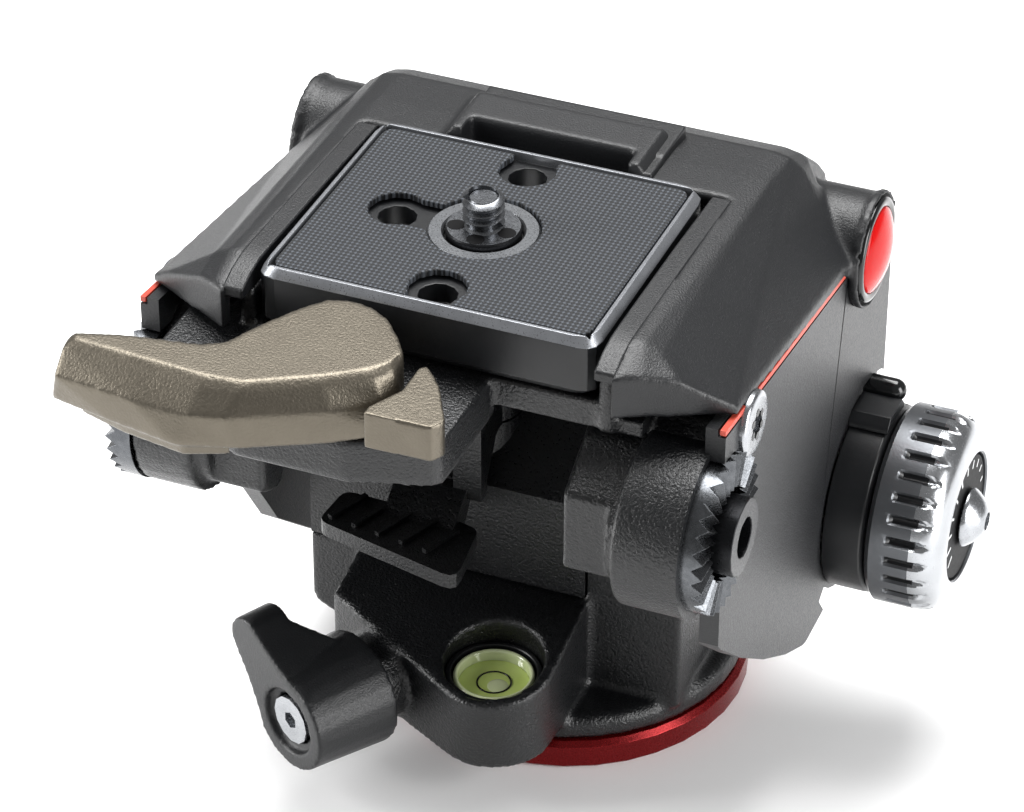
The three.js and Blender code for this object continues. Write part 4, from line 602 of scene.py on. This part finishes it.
# %% Raised tab
TAB_BLOCKS = {
    "bar": ((-15.0, -6.6, 101.2), (17.2, 3.0, 104.5)),
    "right_arm": ((13.9, -12.2, 101.2), (17.2, -6.0, 104.3)),
    "left_arm": ((-15.0, -12.2, 101.2), (-13.9, -6.0, 103.9)),
}
tab_bm = bmesh.new()
for low, high in TAB_BLOCKS.values():
    made = bmesh.ops.create_cube(tab_bm, size=1)["verts"]
    bmesh.ops.scale(tab_bm, vec=point(*high) - point(*low), verts=made)
    bmesh.ops.translate(tab_bm, vec=(point(*high) + point(*low)) / 2, verts=made)
tab = piece_from(tab_bm, "raised_tab", shell_body, [nylon], ALL_SMOOTH)
soften(tab, 0.3, 3)
print("tab blocks:", ", ".join(TAB_BLOCKS))

# %% [markdown]
# ## The right handle barrel
# The barrel that carries the handle's toothed ring runs out flush with the cheek. A spun sleeve gives it
# that full round, with a soft edge on its inner end.

# %% Handle barrel
BARREL = {"y": -56.7, "z": 76.8, "bore": 11.4, "inner": 33.0, "outer": 43.2, "radius": 13.3, "edge": 0.9}
edge_start = (BARREL["radius"] - BARREL["edge"], BARREL["inner"])
edge_end = (BARREL["radius"], BARREL["inner"] + BARREL["edge"])
turned("right_barrel_sleeve", [
    (BARREL["bore"], BARREL["inner"]), edge_start,
    *curve(edge_start, (BARREL["radius"], BARREL["inner"]), edge_end, 4)[1:],
    (BARREL["radius"], BARREL["outer"]), (BARREL["bore"], BARREL["outer"]),
], point(0, BARREL["y"], BARREL["z"]), body_of("platform_carrier"), [coat], ALONG_X, 96)
print("barrel sleeve:", 2 * BARREL["radius"], "mm across")

# %% [markdown]
# ## Cheek screws
# Each cheek is held by one bright low screw head with a six-lobed socket. The head is spun, and six small
# round posts of gloss black at the socket's edge draw its lobes as painted shade.

# %% Cheek screws
HEAD = {"y": -46.6, "z": 89.3, "radius": 5.0, "rise": 0.7, "seat": 1.2, "round": 1.2}
SHANK = {"radius": 2.2, "length": 6}
SOCKET = {"radius": 2.0, "floor": 0.6, "taper": 0.1, "lobes": 6, "lobe": 0.62, "lobe_depth": 0.3}
for side, sign in (("right", 1), ("left", -1)):
    low, high = box_in_mm(side + "_cheek_screw")
    surface = abs(high.x if sign > 0 else low.x)
    top = surface + HEAD["rise"]
    screw_body = body_of(side + "_cheek_screw")
    screw_place = point(0, HEAD["y"], HEAD["z"])
    head = turned(side + "_cheek_screw_head", [
        (0, surface - SHANK["length"]), (SHANK["radius"], surface - SHANK["length"]),
        (SHANK["radius"], surface - HEAD["seat"]), (HEAD["radius"], surface - HEAD["seat"]),
        *curve((HEAD["radius"], surface + 0.1), (HEAD["radius"] - 0.1, top),
               (HEAD["radius"] - HEAD["round"], top), 5),
        (SOCKET["radius"], top), (SOCKET["radius"] - SOCKET["taper"], surface - SOCKET["floor"]),
        (0, surface - SOCKET["floor"]),
    ], screw_place, screw_body, [zinc_steel], sign * ALONG_X, 64, 35)
    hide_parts(side + "_cheek_screw")
    angles = [2 * pi * index / SOCKET["lobes"] for index in range(SOCKET["lobes"])]
    # the lobes are gloss black posts: painted shade in the socket's recesses
    lobe_shade_bm = posts(SOCKET["lobe"], SOCKET["lobe_depth"], 20, [
        point(SOCKET["radius"] * cos(angle), SOCKET["radius"] * sin(angle), top - 0.1) for angle in angles])
    placed(lobe_shade_bm, screw_place, sign * ALONG_X)
    piece_from(lobe_shade_bm, side + "_socket_lobe_shade", screw_body, [gloss_black], 40)
print("cheek screws:", 2 * HEAD["radius"], "mm across")

# %% [markdown]
# ## The quick release plate
# The plate is a painted casting. The faces near the top of its raised lip get a pale grey paint as a
# painted highlight. A satin ring lies round the camera screw, inside the pad.

# %% Plate, lip and pad
LIP_HEIGHT = 1.5
SEAT_RING = {"inner": 6.0, "outer": 8.3, "height": 0.9, "edge": 0.25, "sunk": 0.25}
plate_low, plate_high = box_in_mm("quick_release_plate")
plate_body = body_of("quick_release_plate")
plate_bm = merged_copy("quick_release_plate")
for face in plate_bm.faces:
    # the faces near the plate's top get the pale lip paint: a painted highlight
    face.material_index = 1 if face.calc_center_median().z > mm(plate_high.z - LIP_HEIGHT) else 0
plate = piece_from(plate_bm, "release_plate", plate_body, [satin_black, lip_highlight_paint], 32)
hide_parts("quick_release_plate")
edge_rounds(plate, 0.35, 3)
dressed("rubber_pad", pad_rubber, 0.25)
pad_bottom = box_in_mm("rubber_pad")[0].z
plate_middle = (plate_low + plate_high) / 2
ring_top = SEAT_RING["height"]
ring_shoulder = ring_top - SEAT_RING["edge"]
ring_place = point(plate_middle.x, plate_middle.y, pad_bottom - SEAT_RING["sunk"])
turned("screw_seat_ring", [
    (SEAT_RING["inner"], 0), (SEAT_RING["outer"], 0), (SEAT_RING["outer"], ring_shoulder),
    (SEAT_RING["outer"] - SEAT_RING["edge"], ring_top), (SEAT_RING["inner"] + SEAT_RING["edge"], ring_top),
    (SEAT_RING["inner"], ring_shoulder),
], ring_place, plate_body, [satin_metal], ALONG_Z, 96, 30)
print("plate:", [round(value, 1) for value in plate_high - plate_low], "mm")

# %% [markdown]
# ## The camera screw
# The thread is a 1/4 inch screw: 1.27 mm from turn to turn. A closed tooth profile is spun with a step
# upwards, which makes a true helix, and a plain core fills the middle. The core also has the flange under
# the thread. Its three round slots are drawn as flat matt black discs on the flange: painted shade.

# %% Camera screw
THREAD = {"pitch": 1.27, "turns": 3.6, "steps": 40, "root": 2.2, "core": 2.5, "crest": 3.1}
TOOTH = ((THREAD["root"], 0), (THREAD["core"], 0.1), (THREAD["crest"], 0.52), (THREAD["crest"], 0.62),
         (THREAD["core"], 1.04), (THREAD["root"], 1.14))
FOOT = {"radius": 4.6, "bottom": 97.3, "top": 98.9, "edge": 0.1}
NECK = 2.65
FLANGE = {"bottom": 103.2, "edge": 0.2, "collar": 2.9, "above_plate": 0.1}
TIP_EDGE = 0.5
SLOT = {"radius": 1.35, "away": 4.0, "turns": (200, 275, 350), "depth": 0.3}
screw_low, screw_high = box_in_mm("camera_screw")
screw_top = screw_high.z
flange_radius = (screw_high.x - screw_low.x) / 2
flange_top = plate_high.z + FLANGE["above_plate"]
screw_middle = point(plate_middle.x, plate_middle.y, 0)
screw_body = body_of("camera_screw")
tooth_bm = bmesh.new()
tooth = [tooth_bm.verts.new(point(radius, 0, flange_top + 0.1 + height)) for radius, height in TOOTH]
tooth_edges = [tooth_bm.edges.new(pair) for pair in zip(tooth, tooth[1:] + tooth[:1])]
bmesh.ops.spin(tooth_bm, geom=tooth + tooth_edges, cent=(0, 0, 0), axis=ALONG_Z,
               dvec=(0, 0, mm(THREAD["pitch"]) / THREAD["steps"]), angle=2 * pi * THREAD["turns"],
               steps=round(THREAD["turns"] * THREAD["steps"]), use_merge=False)
bmesh.ops.holes_fill(tooth_bm, edges=[edge for edge in tooth_bm.edges if edge.is_boundary], sides=0)
bmesh.ops.translate(tooth_bm, vec=screw_middle, verts=tooth_bm.verts)
piece_from(tooth_bm, "camera_screw_thread", screw_body, [screw_steel], 30)
screw_core = turned("camera_screw_core", [
    (0, FOOT["bottom"]), (FOOT["radius"] - FOOT["edge"], FOOT["bottom"]),
    (FOOT["radius"], FOOT["bottom"] + FOOT["edge"]), (FOOT["radius"], FOOT["top"]), (NECK, FOOT["top"]),
    (NECK, FLANGE["bottom"]), (flange_radius, FLANGE["bottom"]), (flange_radius, flange_top - FLANGE["edge"]),
    (flange_radius - FLANGE["edge"], flange_top), (FLANGE["collar"], flange_top),
    (THREAD["core"], flange_top + 0.3), (THREAD["core"], screw_top - TIP_EDGE),
    (THREAD["core"] - TIP_EDGE, screw_top), (0, screw_top),
], screw_middle, screw_body, [screw_steel, black_steel], ALONG_Z, 96, 30)
for polygon in screw_core.data.polygons:
    in_flange = mm(FLANGE["bottom"] - 0.2) < polygon.center.z < mm(flange_top - 0.05)
    polygon.material_index = 1 if in_flange else 0
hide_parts("camera_screw")
slot_turns = [radians(turn) for turn in SLOT["turns"]]
# matt black discs where the flange's round slots are: painted shade
slot_shade_bm = posts(SLOT["radius"], SLOT["depth"], 24, [
    screw_middle + point(SLOT["away"] * cos(turn), SLOT["away"] * sin(turn), flange_top - 0.1)
    for turn in slot_turns])
piece_from(slot_shade_bm, "screw_flange_slot_shade", screw_body, [dial_black], 40)
print("screw stands", round(screw_top - flange_top, 2), "mm above its flange")

# %% [markdown]
# ## The stop pin beside the pointer
# A short glossy pin with a round end stands beside the pointer block. It is a rod spun with a quarter
# round.

# %% Stop pin
PIN = {"y": 13.6, "z": 57.6, "radius": 1.9, "end": 51.3}
pin_start = box_in_mm("selector_stop_pin")[0].x
stop_pin = turned("selector_pin", [
    (0, pin_start), (PIN["radius"], pin_start), *arc(0, PIN["end"] - PIN["radius"], PIN["radius"], 0, 90),
], point(0, PIN["y"], PIN["z"]), body_of("selector_stop_pin"), [gloss_black], ALONG_X, 40, 60)
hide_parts("selector_stop_pin")
print("stop pin:", round(PIN["end"] - pin_start, 1), "mm long")

# %% [markdown]
# ## The drag selector
# The knob is turned: a grey anodised side, a bright convex bevel and a black dial set into its face. Its 28
# notches are milled along the side, so the points of the spun shape are pushed in to the milling depth
# where a notch runs. Each notch is five points wide and deepest in the middle, which gives it a round
# floor, and the floor is painted black as painted shade.

# %% Selector knob
NOTCH = {"count": 28, "steps": 12, "depth": 0.95, "start": 54.8, "full": 55.6, "dark": 0.35,
         "past_bevel": 0.6}
NOTCH_SHARES = {0: 1.0, 1: 0.88, 2: 0.5}
SIDE_ROWS = (54.3, NOTCH["start"], 55.1, NOTCH["full"], 56.6, 57.8)
BACK = {"radius": 11.8, "floor": 58.3, "edge": 0.8}
BORE = 2.9
DISH = {"radius": 10.45, "floor": 62.3, "edge": 0.25, "bright_from": 10.6}
BEVEL = {"width": 4.8, "face": 11.2, "fullness": 0.2, "front": 0.5}
knob_low, knob_high = box_in_mm("drag_knob")
knob_back, knob_front = knob_low.x, knob_high.x
knob_radius = (knob_high.z - knob_low.z) / 2
bevel_start = knob_front - BEVEL["width"]
tilt_axis = point(0, (knob_low.y + knob_high.y) / 2, (knob_low.z + knob_high.z) / 2)
selector_body = body_of("drag_knob")
knob_steps = NOTCH["count"] * NOTCH["steps"]
knob_bm = spun([
    (BORE, BACK["floor"]), (BACK["radius"], BACK["floor"]), (BACK["radius"], knob_back),
    (knob_radius - BACK["edge"], knob_back), (knob_radius, knob_back + BACK["edge"]),
    *((knob_radius, height) for height in SIDE_ROWS),
    *curve((knob_radius, bevel_start), (knob_radius - BEVEL["fullness"], knob_front - BEVEL["front"]),
           (BEVEL["face"], knob_front), 12),
    (DISH["radius"] + DISH["edge"], knob_front), (DISH["radius"], knob_front - DISH["edge"]),
    (DISH["radius"], DISH["floor"]), (BORE, DISH["floor"]),
], knob_steps)
for corner in knob_bm.verts:
    radius, height = hypot(corner.co.x, corner.co.y) / MILLIMETRE, corner.co.z / MILLIMETRE
    turn_share = Vector((1, 0)).angle_signed(Vector(corner.co[:2]), 0) / (2 * pi)
    step = round(turn_share * knob_steps) % NOTCH["steps"]
    run_in = min(1, max(0, (height - NOTCH["start"]) / (NOTCH["full"] - NOTCH["start"])))
    share = NOTCH_SHARES.get(min(step, NOTCH["steps"] - step), 0) * run_in
    notch_floor = knob_radius - NOTCH["depth"] * share
    if radius > max(notch_floor, BACK["radius"]):
        corner.co.x *= notch_floor / radius
        corner.co.y *= notch_floor / radius
placed(knob_bm, tilt_axis, ALONG_X)
for face in knob_bm.faces:
    centre = face.calc_center_median()
    off_axis = hypot(centre.y - tilt_axis.y, centre.z - tilt_axis.z) / MILLIMETRE
    along_notch = mm(NOTCH["start"]) < centre.x < mm(bevel_start + NOTCH["past_bevel"])
    on_bevel = centre.x > mm(bevel_start) and off_axis > DISH["bright_from"]
    # the notch floors get satin black paint: painted shade in the notches
    in_notch_shade = along_notch and off_axis < knob_radius - NOTCH["dark"]
    face.material_index = 2 if in_notch_shade else 1 if on_bevel else 0
knob = piece_from(knob_bm, "selector_knob", selector_body, [grey_anodised, silver_bevel, satin_black], 28)
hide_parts("drag_knob")
print("selector knob:", len(knob.data.polygons), "faces")

# %% [markdown]
# ## Dial, ticks and pointed screw
# The dial is a black disc. Its marks are plain printed ticks that grow longer from end to end, as a scale
# of drag. The screw over it is a bright steel cone with a bulging side and a small socket in its tip.

# %% Dial, ticks and pointed screw
DIAL = {"bore": 3.4, "radius": 10.1, "edge": 0.15}
TICK = {"count": 13, "sweep": 240, "outer": 9.3, "thick": 0.08, "width": 0.4, "shortest": 0.9, "growth": 1.2}
DOME = {"shank": 2.4, "above_dial": 0.3, "edge": 0.2, "side": 0.5, "bulge_in": 1.4, "bulge_out": 2.6,
        "socket": 1.5, "socket_edge": 0.3, "socket_depth": 1.4, "socket_floor": 1.8}
dial_low, dial_high = box_in_mm("drag_dial")
dial_face = dial_high.x
dial = turned("selector_dial", [
    (DIAL["bore"], dial_low.x), (DIAL["radius"], dial_low.x), (DIAL["radius"], dial_face - DIAL["edge"]),
    (DIAL["radius"] - DIAL["edge"], dial_face), (DIAL["bore"], dial_face),
], tilt_axis, selector_body, [dial_black], ALONG_X, 96, 30)
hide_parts("drag_dial")
tick_bm = bmesh.new()
for index in range(TICK["count"]):
    share = index / (TICK["count"] - 1)
    length = TICK["shortest"] + TICK["growth"] * share
    made = bmesh.ops.create_cube(tick_bm, size=1)["verts"]
    bmesh.ops.scale(tick_bm, vec=point(TICK["thick"], TICK["width"], length), verts=made)
    bmesh.ops.translate(tick_bm, vec=point(dial_face, 0, TICK["outer"] - length / 2), verts=made)
    turn = Matrix.Rotation(radians(TICK["sweep"] * (share - 0.5)), 3, "X")
    bmesh.ops.rotate(tick_bm, cent=(0, 0, 0), verts=made, matrix=turn)
bmesh.ops.translate(tick_bm, vec=tilt_axis, verts=tick_bm.verts)
piece_from(tick_bm, "dial_ticks", selector_body, [print_white], 30)
dome_low, dome_high = box_in_mm("drag_knob_screw")
dome_top = dome_high.x
dome_radius = (dome_high.z - dome_low.z) / 2
dome_seat = dial_face + DOME["above_dial"]
dome = turned("selector_dome_screw", [
    (0, dome_low.x), (DOME["shank"], dome_low.x), (DOME["shank"], dome_seat),
    (dome_radius - DOME["edge"], dome_seat), (dome_radius, dome_seat + DOME["edge"]),
    *curve((dome_radius, dome_seat + DOME["side"]),
           (dome_radius - DOME["bulge_in"], dome_seat + DOME["bulge_out"]),
           (DOME["socket"] + DOME["socket_edge"], dome_top - 0.1), 10),
    (DOME["socket"], dome_top), (DOME["socket"] - 0.1, dome_top - DOME["socket_depth"]),
    (0, dome_top - DOME["socket_floor"]),
], tilt_axis, selector_body, [zinc_steel], ALONG_X)
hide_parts("drag_knob_screw")
print("ticks:", TICK["count"], "over", TICK["sweep"], "degrees")

# %% [markdown]
# ## The badges
# Each badge is a poured red dome in a black rim. The rim is spun with a rounded top, and the dome is a cap
# of a larger ball.

# %% Badges
ENAMEL = {"radius": 6.8, "rise": 1.8, "steps": 5}
RIM = {"radius": 8.3, "gap": 0.1, "side": 0.6, "bend": 0.15, "crest": 0.9}
ball = (ENAMEL["radius"] ** 2 + ENAMEL["rise"] ** 2) / (2 * ENAMEL["rise"])
cap_turns = [ENAMEL["radius"] / ball * (ENAMEL["steps"] - i) / ENAMEL["steps"]
             for i in range(ENAMEL["steps"] + 1)]
for side, sign in (("right", 1), ("left", -1)):
    low, high = box_in_mm(side + "_badge")
    badge_body = body_of(side + "_badge")
    thick = high.x - low.x
    rim_top = thick - ENAMEL["rise"]
    rim_inner = ENAMEL["radius"] + RIM["gap"]
    back = point(low.x if sign > 0 else high.x, (low.y + high.y) / 2, (low.z + high.z) / 2)
    turned(side + "_badge_rim", [
        (rim_inner, 0), (RIM["radius"], 0), (RIM["radius"], rim_top - RIM["side"]),
        *curve((RIM["radius"], rim_top - RIM["side"]), (RIM["radius"], rim_top + RIM["bend"]),
               (RIM["radius"] - RIM["crest"], rim_top + RIM["gap"]), 5),
        (rim_inner, rim_top - RIM["gap"]),
    ], back, badge_body, [gloss_black], sign * ALONG_X, 96, 40)
    enamel = turned(side + "_badge_enamel", [
        (0, 0), (ENAMEL["radius"], 0), (ENAMEL["radius"], rim_top - RIM["gap"]),
        *((ball * sin(turn), thick - ball + ball * cos(turn)) for turn in cap_turns),
    ], back, badge_body, [red_enamel], sign * ALONG_X, 96, 50)
    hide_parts(side + "_badge")
print("badge domes:", 2 * ENAMEL["radius"], "mm across")

# %% [markdown]
# ## The round level
# A small clear cup holds yellow green fluid with a printed black circle and one bubble. It sits in a ring
# in a deep hole.

# %% Level
CUP = {"wall": 0.8, "gap": 0.05}
FLUID_TOP = 18.4
CIRCLE = {"radius": 2.7, "line": 0.17}
BUBBLE = {"radius": 1.7, "shoulder": 1.4, "rise": 0.25, "shoulder_rise": 0.22, "sunk": 0.1,
          "off": (0.9, -0.6)}
RING = {"inner": 6.85, "outer": 7.7, "outer_edge": 0.2, "inner_edge": 0.15}
vial_low, vial_high = box_in_mm("bubble_vial")
vial_radius = (vial_high.x - vial_low.x) / 2
vial_middle = point((vial_low.x + vial_high.x) / 2, (vial_low.y + vial_high.y) / 2, 0)
level_body = body_of("bubble_vial")
cup_inner = vial_radius - CUP["wall"]
fluid_radius = cup_inner - CUP["gap"]
fluid = turned("level_fluid", [
    (0, vial_low.z), (fluid_radius, vial_low.z), (fluid_radius, FLUID_TOP), (0, FLUID_TOP),
], vial_middle, level_body, [level_fluid])
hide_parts("bubble_vial")
half_wall = CUP["wall"] / 2
turned("level_cup", [
    (cup_inner, vial_low.z), (vial_radius, vial_low.z), (vial_radius, vial_high.z - half_wall),
    *arc(vial_radius - half_wall, vial_high.z - half_wall, half_wall, 0, 180),
], vial_middle, level_body, [clear_cup], smooth_angle=60)
turned("level_circle", arc(CIRCLE["radius"], FLUID_TOP, CIRCLE["line"], 0, 315, 7), vial_middle, level_body,
       [gloss_black], ALONG_Z, 64, 60)
turned("level_bubble", [
    (0, FLUID_TOP - BUBBLE["sunk"]), (BUBBLE["radius"], FLUID_TOP - BUBBLE["sunk"]),
    *curve((BUBBLE["radius"], FLUID_TOP), (BUBBLE["shoulder"], FLUID_TOP + BUBBLE["shoulder_rise"]),
           (0, FLUID_TOP + BUBBLE["rise"]), 6),
], vial_middle + point(*BUBBLE["off"], 0), level_body, [clear_cup], ALONG_Z, 48, 60)
ring_low, ring_high = box_in_mm("bubble_ring")
ring = turned("level_ring", [
    (RING["inner"], ring_low.z), (RING["outer"], ring_low.z),
    (RING["outer"], ring_high.z - RING["outer_edge"]), (RING["outer"] - RING["outer_edge"], ring_high.z),
    (RING["inner"] + RING["inner_edge"], ring_high.z),
    (RING["inner"], ring_high.z - RING["inner_edge"]),
], vial_middle, level_body, [satin_black])
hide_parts("bubble_ring")
print("level:", round(2 * vial_radius, 1), "mm across")

# %% [markdown]
# ## The floor and the light
# The head stands on a pale floor in front of a white backdrop, with three large soft lamps, as in a product
# studio. The camera sees the world as pure white. In reflections and on matt surfaces it counts for much
# less, so black pieces stay black. A lamp's place and size are in metres and its power in watts.

# %% Floor, lamps and world
FLOOR_HALF = 6
REFLECTED_WHITE = 0.3
AMBIENT_WHITE = 0.3
LAMP_AIM = Vector((0, 0, 0.06))
LAMPS = {
    "top_box": ((-0.1, 0.25, 0.85), (0.7, 0.5), 14),
    "left_strip": ((-0.75, -0.35, 0.3), (0.25, 0.7), 8),
    "right_box": ((0.75, -0.15, 0.3), (0.35, 0.6), 7),
}
floor_bm = bmesh.new()
bmesh.ops.create_grid(floor_bm, x_segments=1, y_segments=1, size=FLOOR_HALF)
floor_mesh = bpy.data.meshes.new("studio_floor")
floor_bm.to_mesh(floor_mesh)
floor_bm.free()
floor_mesh.materials.append(finish_of("studio_floor", "fafafa", "f8f8f8", 400, 2.0, 0.0, (0.7, 0.8)))
floor = bpy.data.objects.new("studio_floor", floor_mesh)
scene.collection.objects.link(floor)

world = bpy.data.worlds.new("studio_world")
scene.world = world
world.use_nodes = True
tree = world.node_tree
background = tree.nodes["Background"]
background.inputs["Color"].default_value = (1, 1, 1, 1)
rays = node_in(tree, "ShaderNodeLightPath")
seen = node_in(tree, "ShaderNodeMath", {"operation": "MAXIMUM"}, i0=rays.outputs["Is Camera Ray"],
               i1=rays.outputs["Is Transmission Ray"])
reflected = node_in(tree, "ShaderNodeMath", {"operation": "MULTIPLY"}, i0=rays.outputs["Is Glossy Ray"],
                    i1=REFLECTED_WHITE)
shown = node_in(tree, "ShaderNodeMath", {"operation": "MAXIMUM"}, i0=seen.outputs[0], i1=reflected.outputs[0])
strength = node_in(tree, "ShaderNodeMath", {"operation": "MAXIMUM"}, i0=shown.outputs[0], i1=AMBIENT_WHITE)
tree.links.new(strength.outputs[0], background.inputs["Strength"])

for name, (place, size, power) in LAMPS.items():
    lamp_data = bpy.data.lights.new(name, "AREA")
    lamp_data.shape = "RECTANGLE"
    lamp_data.size, lamp_data.size_y = size
    lamp_data.energy = power
    lamp = bpy.data.objects.new(name, lamp_data)
    lamp.location = place
    lamp.rotation_euler = (LAMP_AIM - Vector(place)).to_track_quat("-Z", "Y").to_euler()
    scene.collection.objects.link(lamp)
scene.view_settings.view_transform = "Standard"
print("lamps:", ", ".join(LAMPS))
